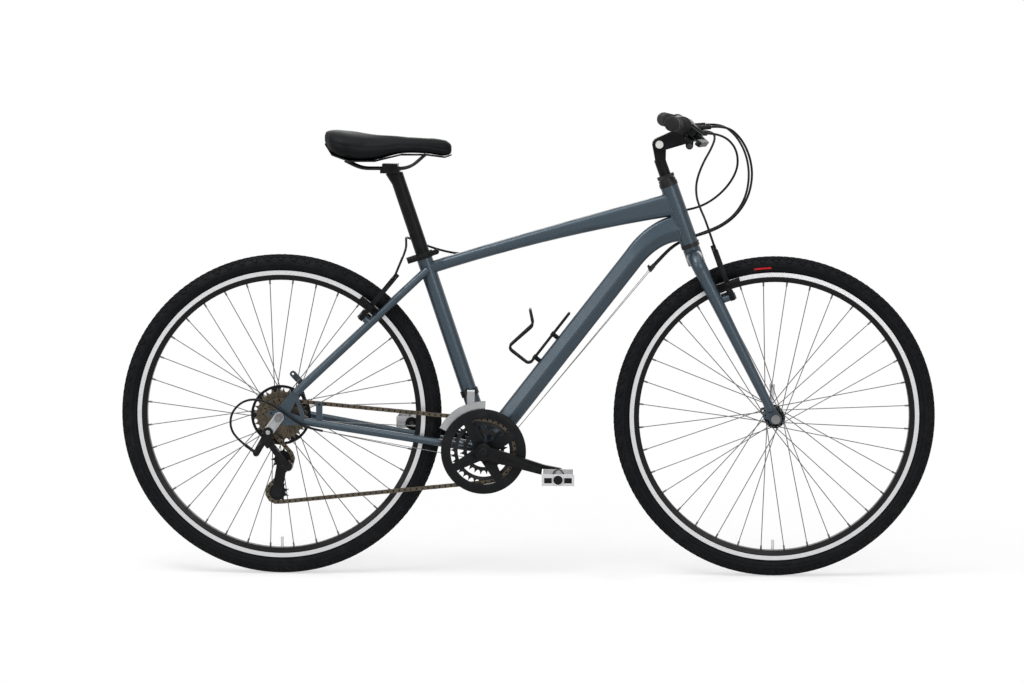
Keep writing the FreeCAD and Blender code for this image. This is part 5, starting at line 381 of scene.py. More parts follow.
class Finishes:
    """Every finish on the bike, made once each."""

    def __init__(self) -> None:
        """Make the materials."""
        dark, grey = (0.0032, 0.0036, 0.0043), (0.012, 0.013, 0.014)
        self.paint = PaintFinish("frame_paint", (0.021, 0.036, 0.050), (0.095, 0.135, 0.170)).material()
        # Weld beads: a lighter copy of the frame paint, a painted highlight so the beads show as light lines.
        self.weld = PaintFinish("weld_paint_painted_highlight", (0.036, 0.050, 0.064), (0.15, 0.19, 0.225), 0.34).material()
        self.anodised = MetalFinish("black_anodised", (0.007, 0.007, 0.0075), grey, 0.4, 0.5, level=0.1).material()
        self.gloss = MetalFinish("black_gloss_metal", (0.006, 0.006, 0.0065), grey, 0.26, 0.4, level=0.18).material()
        self.black_steel = MetalFinish("black_steel", (0.014, 0.014, 0.015), (0.04, 0.04, 0.04), 0.36, 0.7,
                                       level=0.25).material()
        self.silver = MetalFinish("silver_alloy", (0.50, 0.50, 0.51), (0.40, 0.40, 0.40), 0.3).material()
        self.chrome = MetalFinish("chrome_steel", (0.36, 0.37, 0.38), (0.27, 0.275, 0.28), 0.28).material()
        self.steel = MetalFinish("plain_steel", (0.20, 0.20, 0.20), (0.13, 0.13, 0.13), 0.36).material()
        self.spoke = MetalFinish("spoke_steel", (0.13, 0.13, 0.135), (0.10, 0.10, 0.10), 0.3,
                                 grain=(1, 20, 1)).material()
        self.bronze = MetalFinish("bronze_steel", (0.100, 0.082, 0.060), (0.045, 0.037, 0.029), 0.36, 0.9).material()
        self.plastic = MouldedFinish("black_plastic", dark, grey, 0.42, 1400.0, 0.00008).material()
        self.tyre = MouldedFinish("tyre_rubber", (0.0045, 0.0049, 0.0058), (0.013, 0.013, 0.0135), 0.72, 700.0,
                                  0.0002, 0.1).material()
        self.tubes = {name: TwoToneFinish(name + "_tube_rubber", axle).material()
                      for name, axle in (("front", FRONT_AXLE), ("rear", REAR_AXLE))}
        self.bolt = TwoToneFinish("stem_bolt_steel", STEM_PIVOT, 0.012).material()
        self.grip = MouldedFinish("grip_rubber", (0.0055, 0.0055, 0.0060), (0.018, 0.018, 0.018), 0.62, 1100.0,
                                  0.0003, 0.2).material()
        self.cable = MouldedFinish("cable_plastic", dark, (0.014, 0.014, 0.014), 0.38, 1800.0, 0.00003).material()
        self.dash = MouldedFinish("red_mark", (0.42, 0.012, 0.016), (0.25, 0.02, 0.02), 0.55).material()
        self.skin = SkinFinish("seat_skin").material()
        self.rims = {name: RimFinish(name + "_rim_alloy", axle).material()
                     for name, axle in (("front", FRONT_AXLE), ("rear", REAR_AXLE))}
        self.pedals = {side: PedalFinish("pedal_alloy_" + side.name.lower(), axle).material()
                       for side, axle in PEDAL_AXLES.items()}

    def by_node(self) -> dict[str, bpy.types.Material]:
        """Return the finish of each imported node."""
        table = {self.paint: "main_frame rear_frame fork",
                 self.anodised: "bottle_cage seat_clamp stem_quill stem_arm handlebar "
                                "front_left_brake_arm front_right_brake_arm rear_left_brake_arm "
                                "rear_right_brake_arm front_hub rear_hub crank_arms seat_post seat_clamp_lever",
                 self.gloss: "rear_derailleur_body rear_derailleur_outer_link rear_derailleur_inner_link "
                             "rear_derailleur_knuckle rear_derailleur_cage",
                 self.black_steel: "headset_bearings front_derailleur_clamp headset_locknuts chainrings saddle_rails",
                 self.steel: "bottom_bracket rear_axle front_axle crank_axle",
                 self.chrome: "derailleur_hanger front_derailleur_cage",
                 self.bolt: "stem_bolts",
                 self.silver: "front_hub_lever",
                 self.spoke: "front_spokes rear_spokes",
                 self.bronze: "chain freewheel",
                 self.cable: "control_cables",
                 self.grip: "handlebar_grips",
                 self.tyre: "front_tyre rear_tyre",
                 self.tubes["front"]: "front_inner_tube", self.tubes["rear"]: "rear_inner_tube",
                 self.skin: "saddle_cover",
                 self.rims["front"]: "front_rim", self.rims["rear"]: "rear_rim",
                 self.pedals[Side.RIGHT]: "right_pedal", self.pedals[Side.LEFT]: "left_pedal",
                 self.plastic: "control_pods left_brake_lever right_brake_lever left_shift_lever right_shift_lever "
                               "spoke_protector chain_guard guide_pulley tension_pulley saddle_base"}
        return {node: finish for finish, nodes in table.items() for node in nodes.split()}

    def dress(self) -> None:
        """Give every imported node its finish."""
        for node, finish in self.by_node().items():
            slots = frame["nodes"][node].data.materials
            slots.clear()
            slots.append(finish)


# Mesh helpers
def piece(name: str, data: bpy.types.ID, finish: bpy.types.Material) -> bpy.types.Object:
    """Return a new object in the scene with one finish.

    Args:
        name: Piece name.
        data: Mesh or curve.
        finish: Its material.

    Returns:
        The linked object.
    """
    data.materials.clear()
    data.materials.append(finish)
    made = bpy.data.objects.new(name, data)
    bpy.context.scene.collection.objects.link(made)
    return made


def mesh_of(name: str, points: Sequence[Vector], faces: Sequence[Sequence[int]], smooth: bool = True) -> bpy.types.Mesh:
    """Return a mesh with merged points and outward faces."""
    mesh = bpy.data.meshes.new(name)
    mesh.from_pydata([tuple(p) for p in points], [], [tuple(f) for f in faces])
    form = bmesh.new()
    form.from_mesh(mesh)
    bmesh.ops.remove_doubles(form, verts=form.verts, dist=1e-6)
    bmesh.ops.recalc_face_normals(form, faces=form.faces)
    for face in form.faces:
        face.smooth = smooth
    form.to_mesh(mesh)
    form.free()
    return mesh


def lathe(name: str, profile: Sequence[tuple[float, float]], centre: Vector, axis: Vector, count: int,
          closed: bool = True) -> bpy.types.Mesh:
    """Return a mesh turned about an axis.

    Args:
        name: Mesh name.
        profile: (radius, along) points in metres.
        centre: Point on the axis.
        axis: Axis direction.
        count: Steps round it.
        closed: Whether the profile's last point joins its first.

    Returns:
        The turned mesh.
    """
    turn = axis.normalized().to_track_quat("Z", "Y").to_matrix()
    points, faces, size = [], [], len(profile)
    for step in range(count):
        angle = 2 * math.pi * step / count
        for radius, along in profile:
            points.append(centre + turn @ Vector((radius * math.cos(angle), radius * math.sin(angle), along)))
        for spot in range(size if closed else size - 1):
            near, far = step * size, (step + 1) % count * size
            after = (spot + 1) % size
            faces.append((near + spot, far + spot, far + after, near + after))
    return mesh_of(name, points, faces)


def evaluated(source: bpy.types.Object, name: str) -> bpy.types.Mesh:
    """Return the object's mesh with its modifiers applied, and remove the object."""
    bpy.context.view_layer.update()
    graph = bpy.context.evaluated_depsgraph_get()
    mesh = bpy.data.meshes.new_from_object(source.evaluated_get(graph), depsgraph=graph)
    mesh.name = name
    bpy.data.objects.remove(source)
    return mesh


def joined(name: str, meshes: Iterable[bpy.types.Mesh]) -> bpy.types.Mesh:
    """Return one mesh holding several."""
    form = bmesh.new()
    for mesh in meshes:
        form.from_mesh(mesh)
    whole = bpy.data.meshes.new(name)
    form.to_mesh(whole)
    form.free()
    return whole


def fit(name: str, parts: Iterable[bpy.types.Mesh], finish: bpy.types.Material,
        body: Body) -> bpy.types.Object:
    """Return one piece joined from meshes and on its body.

    Args:
        name: Piece name.
        parts: Meshes to join.
        finish: Its material.
        body: Body it rides on.

    Returns:
        The new piece.
    """
    made = piece(name, joined(name, parts), finish)
    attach(made, body.value)
    return made


def rod(name: str, start: Vector, end: Vector, radius: float, ease: float = 0.0004, count: int = 20) -> bpy.types.Mesh:
    """Return a round rod with eased ends.

    Args:
        name: Mesh name.
        start: One end in metres.
        end: The other end.
        radius: Its radius.
        ease: Width of the rounding at both ends.
        count: Steps round it.

    Returns:
        The closed mesh.
    """
    length = (end - start).length
    low = [(0.0, 0.0), (radius - ease, 0.0), (radius - 0.3 * ease, 0.3 * ease), (radius, ease)]
    profile = low + [(r, length - along) for r, along in reversed(low)]
    return lathe(name, profile, start, end - start, count, closed=False)


def dome(name: str, foot: Vector, out: Vector, radius: float, height: float, socket: float = 0.0) -> bpy.types.Mesh:
    """Return a domed bolt head, with a six-sided socket where it has one.

    Args:
        name: Mesh name.
        foot: Centre of its seat.
        out: Direction it stands in.
        radius: Its radius.
        height: Its height.
        socket: Radius of the socket, or zero.

    Returns:
        The closed mesh.
    """
    profile = [(0.0, 0.0), (radius, 0.0), (radius, 0.45 * height), (0.93 * radius, 0.75 * height),
               (0.72 * radius, 0.95 * height)]
    if socket:
        profile += [(1.12 * socket, height), (socket, 0.94 * height), (socket, 0.3 * height), (0.0, 0.25 * height)]
    else:
        profile += [(0.4 * radius, height), (0.0, height)]
    return lathe(name, profile, foot, out, 24, closed=False)


def block(name: str, centre: Vector, size: Point, ease: float = 0.0006) -> bpy.types.Mesh:
    """Return a box with eased edges, square to the frame.

    Args:
        name: Mesh name.
        centre: Its middle.
        size: Its whole length, width and height.
        ease: Width of the eased edges.

    Returns:
        The closed mesh.
    """
    form = bmesh.new()
    bmesh.ops.create_cube(form, size=1.0)
    bmesh.ops.scale(form, vec=size, verts=form.verts)
    bmesh.ops.bevel(form, geom=form.edges[:], offset=ease, segments=2, affect="EDGES", profile=0.5)
    bmesh.ops.translate(form, vec=centre, verts=form.verts)
    mesh = bpy.data.meshes.new(name)
    form.to_mesh(mesh)
    form.free()
    return mesh


def softened(node: str, finish: bpy.types.Material, width: float = 0.0008) -> bpy.types.Object:
    """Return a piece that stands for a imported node, with its sharp edges rounded over.

    Args:
        node: Node to stand for.
        finish: Its material.
        width: Width of the rounding in metres.

    Returns:
        The new piece, riding on the node's body.
    """
    mesh = frame["nodes"][node].data.copy()
    form = bmesh.new()
    form.from_mesh(mesh)
    bmesh.ops.remove_doubles(form, verts=form.verts, dist=2e-6)
    bmesh.ops.dissolve_limit(form, angle_limit=math.radians(1.0), verts=form.verts, edges=form.edges)
    for face in form.faces:
        face.smooth = True
    form.to_mesh(mesh)
    form.free()
    raw = piece(node + "_raw", mesh, finish)
    round_over = raw.modifiers.new("round_over", "BEVEL")
    round_over.width = width
    round_over.segments = 2
    round_over.limit_method = "ANGLE"
    round_over.angle_limit = math.radians(38.0)
    round_over.harden_normals = False
    soft = piece(node + "_rounded", evaluated(raw, node + "_rounded"), finish)
    soft.data.set_sharp_from_angle(angle=math.radians(40.0))
    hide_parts(node)
    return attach(soft, next(body for body, held in frame["record"]["behaviour"]["bodies"].items() if node in held))


# Geometry node trees
class GeoTree:
    """A geometry node tree with named inputs, whose result is taken as a plain mesh."""

    def __init__(self, name: str, inputs: Mapping[str, str]) -> None:
        """Start the tree.

        Args:
            name: Tree name.
            inputs: Socket kind of each named input.
        """
        self.tree = bpy.data.node_groups.new(name, "GeometryNodeTree")
        face = self.tree.interface
        self.sockets = {key: face.new_socket(key, in_out="INPUT", socket_type="NodeSocket" + kind).identifier
                        for key, kind in inputs.items()}
        face.new_socket("Geometry", in_out="OUTPUT", socket_type="NodeSocketGeometry")
        self.given = self.add("NodeGroupInput").outputs

    def add(self, kind: str, inputs: Optional[Mapping[Key, object]] = None, **settings: object) -> bpy.types.Node:
        """Add a node of the given kind."""
        return add_node(self.tree, kind, inputs, **settings)

    def sum_of(self, operation: str, first: bpy.types.NodeSocket, second: object = 0.0) -> bpy.types.NodeSocket:
        """Return a sum of two values, the second a socket or a number."""
        return self.add("ShaderNodeMath", {0: first, 1: second}, operation=operation).outputs[0]

    def vector(self, x: object = 0.0, y: object = 0.0, z: object = 0.0) -> bpy.types.NodeSocket:
        """Return a vector of sockets and numbers."""
        return self.add("ShaderNodeCombineXYZ", {0: x, 1: y, 2: z}).outputs[0]

    def moved(self, shape: bpy.types.NodeSocket, **change: object) -> bpy.types.NodeSocket:
        """Return a shape moved, turned or stretched."""
        return self.add("GeometryNodeTransform", {"Geometry": shape, **change}).outputs[0]

    def set_on(self, points: bpy.types.NodeSocket, turn: bpy.types.NodeSocket, shape: bpy.types.NodeSocket,
               smooth: bool) -> None:
        """End the tree: one shape on each point, as one mesh in the tree's finish.

        Args:
            points: Points to fill.
            turn: Rotation at each point.
            shape: Shape to repeat.
            smooth: Whether the shapes are shaded smooth.
        """
        copies = self.add("GeometryNodeInstanceOnPoints", {"Points": points, "Instance": shape, "Rotation": turn})
        whole = self.add("GeometryNodeRealizeInstances", {0: copies.outputs[0]}).outputs[0]
        if smooth:
            whole = self.add("GeometryNodeSetShadeSmooth", {"Geometry": whole}).outputs[0]
        coat = self.add("GeometryNodeSetMaterial", {"Geometry": whole, "Material": self.given["Finish"]})
        self.add("NodeGroupOutput", {0: coat.outputs[0]})

    def run(self, name: str, base: bpy.types.Mesh, finish: bpy.types.Material,
            sizes: Mapping[str, object]) -> bpy.types.Mesh:
        """Return what the tree makes of a mesh.

        Args:
            name: Name of the result.
            base: Mesh that goes into the tree.
            finish: Material of the result.
            sizes: Values of the tree's named inputs.

        Returns:
            The plain mesh.
        """
        holder = piece(name + "_holder", base, finish)
        maker = holder.modifiers.new("nodes", "NODES")
        maker.node_group = self.tree
        for key, value in {**sizes, "Finish": finish}.items():
            maker[self.sockets[key]] = value
        return evaluated(holder, name)


class Repeat(GeoTree):
    """A node tree that repeats a small tapered block round a crosswise axle."""

    INPUTS: dict[str, str] = {
        "Centre": "Vector", "Radius": "Float", "Across": "Float", "Count": "Int", "Phase": "Float", "Size": "Vector",
        "Taper": "Float", "Lean": "Float", "Skew": "Float", "Finish": "Material"}

    def __init__(self) -> None:
        """Lay out the nodes: points round the axle and a tapered block on each."""
        super().__init__("blocks_round_axle", self.INPUTS)
        given = self.given
        share = self.sum_of("DIVIDE", self.add("GeometryNodeInputIndex").outputs[0], given["Count"])
        angle = self.sum_of("MULTIPLY", self.sum_of("ADD", share, given["Phase"]), 2 * math.pi)
        fore, rise = (self.sum_of("MULTIPLY", self.sum_of(part, angle), given["Radius"]) for part in ("COSINE", "SINE"))
        spot = self.add("ShaderNodeVectorMath", {0: self.vector(fore, given["Across"], rise), 1: given["Centre"]},
                        operation="ADD").outputs[0]
        points = self.add("GeometryNodePoints", {"Count": given["Count"], "Position": spot}).outputs[0]
        cone = self.add("GeometryNodeMeshCone", {"Vertices": 4, "Depth": 1.0, "Radius Bottom": math.sqrt(0.5),
                                                 "Radius Top": given["Taper"]}, fill_type="NGON")
        shape = self.moved(cone.outputs["Mesh"], Rotation=(0.0, 0.0, math.pi / 4), Translation=(0.0, 0.0, -0.5))
        shape = self.moved(shape, Scale=given["Size"])
        shape = self.moved(shape, Rotation=self.vector(z=given["Skew"]))
        shape = self.moved(shape, Rotation=self.vector(given["Lean"]))
        upright = self.sum_of("SUBTRACT", self.sum_of("MULTIPLY", angle, -1.0), -math.pi / 2)
        self.set_on(points, self.vector(y=upright), shape, smooth=False)

    def mesh(self, name: str, finish: bpy.types.Material, **sizes: object) -> bpy.types.Mesh:
        """Return the blocks in a finish, sized by the tree's named inputs."""
        return self.run(name, bpy.data.meshes.new(name + "_holder"), finish, sizes)


class PathTree(GeoTree):
    """A node tree that sets small flattened beads or rings along a path of points."""

    INPUTS: dict[str, str] = {"Geometry": "Geometry", "Step": "Float", "Radius": "Float", "Thickness": "Float",
                              "Finish": "Material"}

    def __init__(self, name: str, ring: bool) -> None:
        """Lay out the nodes: path to points and one form on each.

        Args:
            name: Tree name.
            ring: True for closed rings square to the path, False for beads lying on it.
        """
        super().__init__(name, self.INPUTS)
        given = self.given
        path = self.add("GeometryNodeMeshToCurve", {"Mesh": given["Geometry"]}).outputs[0]
        points = self.add("GeometryNodeCurveToPoints", {"Curve": path, "Length": given["Step"]}, mode="LENGTH").outputs
        if ring:
            loop, section = (self.add("GeometryNodeCurvePrimitiveCircle", {"Resolution": count, "Radius": given[size]})
                             for count, size in ((40, "Radius"), (6, "Thickness")))
            shape = self.add("GeometryNodeCurveToMesh", {"Curve": loop.outputs[0],
                                                         "Profile Curve": section.outputs[0]}).outputs[0]
        else:
            ball = self.add("GeometryNodeMeshUVSphere", {"Segments": 8, "Rings": 5, "Radius": given["Radius"]})
            shape = self.moved(ball.outputs["Mesh"], Scale=self.vector(1.0, 1.0, given["Thickness"]))
        self.set_on(points["Points"], points["Rotation"], shape, smooth=True)

    def mesh(self, name: str, path: Sequence[Vector], closed: bool, finish: bpy.types.Material,
             **sizes: float) -> bpy.types.Mesh:
        """Return the forms along a path as a plain mesh.

        Args:
            name: Mesh name.
            path: Points of the path.
            closed: Whether its ends meet.
            finish: Material of the forms.
            sizes: Values of the tree's named inputs.

        Returns:
            The mesh.
        """
        line = bpy.data.meshes.new(name + "_path")
        count = len(path)
        pairs = [(i, (i + 1) % count) for i in range(count if closed else count - 1)]
        line.from_pydata([tuple(p) for p in path], pairs, [])
        return self.run(name, line, finish, sizes)


# Wheels
@dataclass
class Tyre:
    """A tyre: smooth carcass, ridged centre and blocks at the shoulders."""

    name: str
    node: str
    body: Body
    axle: Point
    radius: float = 0.352
    half: float = 0.021
    tread: float = 0.0016
    wall: float = 0.0028
    dash_angle: Optional[float] = None
    lip: float = 0.3193
    bead: float = 0.3120
    bead_half: float = 0.0104

    def profile(self) -> list[tuple[float, float]]:
        """Return the section as (radius, across) points: outside, bead, inside, bead."""
        middle, reach = self.radius - self.half, self.half - self.tread
        outer = [(middle + reach * math.cos(math.radians(a)), reach * math.sin(math.radians(a)))
                 for a in range(-90, 91, 9)]
        lower = [(self.lip + 0.002, 0.0128), (self.lip, self.bead_half), (self.bead, self.bead_half)]
        thin = reach - self.wall
        inner = [(middle + thin * math.cos(math.radians(a)), thin * math.sin(math.radians(a)))
                 for a in range(90, -91, -15)]
        inside = [(self.bead, self.bead_half - 0.002), (self.lip, self.bead_half - 0.002)]
        mirror = [(r, -y) for r, y in reversed(lower)]
        mirror_inside = [(r, -y) for r, y in reversed(inside)]
        return outer + lower + inside + inner + mirror_inside + mirror

    def build(self, finishes: Finishes, repeat: Repeat) -> None:
        """Make the carcass, its tread and ribs, and set them on the wheel."""
        centre, middle = Vector(self.axle), self.radius - self.half
        parts = [lathe(self.name + "_carcass", self.profile(), centre, Vector((0, -1, 0)), 220)]
        rows = ((0.0, 150, 0.0, (0.0085, 0.0052, 0.0030), 0.0), (17.0, 150, 0.0033, (0.0088, 0.0050, 0.0030), 0.35),
                (36.0, 150, 0.0, (0.0080, 0.0056, 0.0030), -0.3), (56.0, 75, 0.0033, (0.0125, 0.0062, 0.0028), 0.25))
        for angle, count, phase, size, skew in rows:
            for sign in ((1,) if angle == 0.0 else (-1, 1)):
                lean = math.radians(angle) * sign
                reach = self.half - self.tread * 0.5
                parts.append(repeat.mesh(
                    f"{self.name}_row", finishes.tyre, Centre=self.axle,
                    Radius=middle + reach * math.cos(lean) - 0.0004, Across=reach * math.sin(lean), Count=count,
                    Phase=phase * sign, Size=size, Taper=0.56, Lean=-lean, Skew=skew * sign))
        whole = fit(self.name, parts, finishes.tyre, self.body)
        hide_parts(self.node)
        self.ribs(finishes)
        LOG.info("%s: %d points", self.name, len(whole.data.vertices))

    def ribs(self, finishes: Finishes) -> None:
        """Add the raised line round each side wall and, where there is one, a short red mark."""
        middle, reach = self.radius - self.half, self.half - self.tread
        rings = []
        for sign in (-1, 1):
            for angle in (96.0, 76.0):
                radius = middle + reach * math.cos(math.radians(angle)) if angle < 90 else middle - 0.0035
                across = sign * (reach * math.sin(math.radians(min(angle, 90.0))) - (0.0012 if angle > 90 else 0.0))
                ring = [(radius + 0.0006 * math.cos(math.radians(a)), across + 0.0006 * math.sin(math.radians(a)))
                        for a in range(0, 360, 60)]
                rings.append(lathe(self.name + "_line", ring, Vector(self.axle), Vector((0, -1, 0)), 160))
        fit(self.name + "_side_lines", rings, finishes.tyre, self.body)
        if self.dash_angle is not None:
            points, faces, steps = [], [], 10
            for step in range(steps + 1):
                angle = math.radians(self.dash_angle - 3.4 + 6.8 * step / steps)
                for radius, across in ((0.3255, 0.01955), (0.3292, 0.02005), (0.3292, 0.0178), (0.3255, 0.0174)):
                    points.append((self.axle[0] + radius * math.cos(angle), -across,
                                   self.axle[2] + radius * math.sin(angle)))
                if step:
                    near, far = 4 * step - 4, 4 * step
                    faces += [(near + s, far + s, far + (s + 1) % 4, near + (s + 1) % 4) for s in range(4)]
            faces += [(0, 1, 2, 3), tuple(4 * steps + s for s in (3, 2, 1, 0))]
            fit(self.name + "_mark", [mesh_of("mark", points, faces)], finishes.dash, self.body)


# Cables
@dataclass
class Housing:
    """One run of control housing as a smooth spline through its route's points."""

    name: str
    route: Sequence[Point]
    bodies: tuple[Body, ...]
    radius: float = 0.0025
    turn: Optional[tuple[Point, Point]] = None

    def spline(self, bevel: float) -> bpy.types.Object:
        """Return the route as a spline with the given thickness."""
        data = bpy.data.curves.new(self.name, "CURVE")
        data.dimensions = "3D"
        data.resolution_u = 12
        data.bevel_depth = bevel
        data.bevel_resolution = 4
        data.use_fill_caps = bevel > 0
        line = data.splines.new("NURBS")
        line.points.add(len(self.route) - 1)
        for spot, point in zip(line.points, self.route):
            spot.co = (*(c * MM for c in point), 1.0)
        line.order_u = 3
        line.use_endpoint_u = True
        made = bpy.data.objects.new(self.name + "_line", data)
        bpy.context.scene.collection.objects.link(made)
        return made

    def build(self, finish: bpy.types.Material) -> bpy.types.Object:
        """Args:
            finish: Material of its skin.

        Returns:
            The finished piece.
        """
        path = [v.co.copy() for v in evaluated(self.spline(0.0), self.name + "_path").vertices]
        mesh = evaluated(self.spline(self.radius), self.name)
        for face in mesh.polygons:
            face.use_smooth = True
        made = piece(self.name, mesh, finish)
        if self.turn:
            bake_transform(made)
        else:
            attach(made, self.bodies[0].value)
        return made


FRONT_BRAKE_ROUTE = (
    (381.9, 143.5, 974.3), (404, 121.5, 973.9), (412, 92, 962), (402, 62, 938), (382, 34, 906), (367, 12, 868),
    (366, -8, 836), (374, -28, 810), (384.2, -47.1, 787.6), (390.7, -54.7, 768.4))
REAR_BRAKE_ROUTE = (
    (381.9, -143.5, 974.3), (404, -121.5, 973.9), (434, -93, 960), (453, -62, 932), (455, -30, 893), (431, 0, 850),
    (390, 18, 816), (345, 26, 802), (300, 25, 799), (262, 21, 797), (190, 20.5, 783), (118, 20.5, 765),
    (46, 20.5, 745.6), (-26, 20.5, 725.2), (-98, 21, 704), (-160, 26, 705), (-213, 31, 718), (-252, 27, 735),
    (-268, 2, 743), (-266, -28, 738), (-264.4, -47.4, 720), (-271.9, -54.9, 701.3))
REAR_SHIFT_ROUTE = (
    (391.9, -138.6, 988.2), (425.1, -133.7, 990.9), (457, -118, 965), (478, -95, 925), (486, -66, 880),
    (478, -36, 833), (456, -8, 795), (424, 14, 768), (388, 25, 752), (352, 27, 742), (318, 20, 727), (291, 6, 702),
    (268, -5, 678))
FRONT_SHIFT_ROUTE = (
    (391.9, 138.6, 988.2), (425.1, 133.7, 990.9), (458, 120, 966), (480, 102, 926), (487, 80, 880), (479, 58, 833),
    (456, 42, 795), (424, 35, 770), (388, 34, 755), (352, 35, 742), (319, 29, 724), (293, 18, 699), (270, 7, 674))
TAIL_ROUTE = (
    (-446, -66, 322), (-482, -77, 330), (-514, -84, 352), (-545, -86, 376), (-582, -80.8, 393),
    (-618, -75.8, 389), (-644, -73.5, 364), (-648, -75, 332), (-634, -78.8, 307.2), (-614.4, -80.3, 292.4))


@dataclass
class Cables:
    """All control housing, split where it passes from the bar to the steering and on to the frame."""

    split: int = 4
    lower_turn: int = 5

    def runs(self) -> list[Housing]:
        """Return every run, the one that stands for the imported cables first."""
        upper_bodies, lower_bodies = (Body.BAR, Body.STEERING), (Body.STEERING, Body.FRAME)
        found = [Housing("front_brake_housing", FRONT_BRAKE_ROUTE, upper_bodies,
                         turn=(FRONT_BRAKE_ROUTE[1], FRONT_BRAKE_ROUTE[6]))]
        for name, route in (("rear_brake_housing", REAR_BRAKE_ROUTE), ("rear_shift_housing", REAR_SHIFT_ROUTE),
                            ("front_shift_housing", FRONT_SHIFT_ROUTE)):
            above, below = self.split, self.split + 1
            middle = tuple((a + b) / 2 for a, b in zip(route[above], route[below]))
            found.append(Housing(name + "_upper", (*route[:below], middle), upper_bodies,
                                 turn=(route[1], route[above])))
            found.append(Housing(name, (middle, *route[below:]), lower_bodies,
                                 turn=(route[below], route[above + self.lower_turn])))
        return [*found, Housing("tail_shift_housing", TAIL_ROUTE, (Body.FRAME,))]

    def build(self, finishes: Finishes) -> None:
        """Make every run."""
        made = [run.build(finishes.cable) for run in self.runs()]
        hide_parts("control_cables")


# Cockpit and seat
@dataclass
class Grips:
    """Two ribbed rubber grips with rounded end caps."""

    end: Point = (0.30294, 0.305, 0.99733)
    out: Point = (-0.21398, 0.97595, 0.04175)
    radius: float = 0.0154
    rib_step: float = 0.0042
    rib: float = 0.0007

    def build(self, finishes: Finishes, rings: PathTree) -> None:
        """Turn both grips, add their ribs and set them on the bar."""
        parts = []
        for side in Side:
            end = Vector((self.end[0], side.value * self.end[1], self.end[2]))
            out = Vector((self.out[0], side.value * self.out[1], self.out[2])).normalized()
            profile = [(0.0113, -0.128), (0.0172, -0.128), (0.0188, -0.1268), (0.0190, -0.1250), (0.0186, -0.1236),
                       (0.0166, -0.1224), (0.0154, -0.1195), (0.0150, -0.100), (0.0152, -0.070), (0.0156, -0.035),
                       (0.0154, -0.012), (0.0158, -0.008), (0.0160, -0.003), (0.0158, 0.0006), (0.0148, 0.0026),
                       (0.0120, 0.0037), (0.0060, 0.0040), (0.0, 0.0040)]
            parts.append(lathe("grip", profile, end, out, 48, closed=False))
            path = [end - out * (0.016 + self.rib_step * step) for step in range(25)]
            parts.append(rings.mesh("grip_ribs", path, False, finishes.grip, Step=self.rib_step,
                                    Radius=self.radius - 0.0003, Thickness=self.rib))
        made = fit("grip_covers", parts, finishes.grip, Body.BAR)
        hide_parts("handlebar_grips")
        LOG.info("grip_covers: two grips")


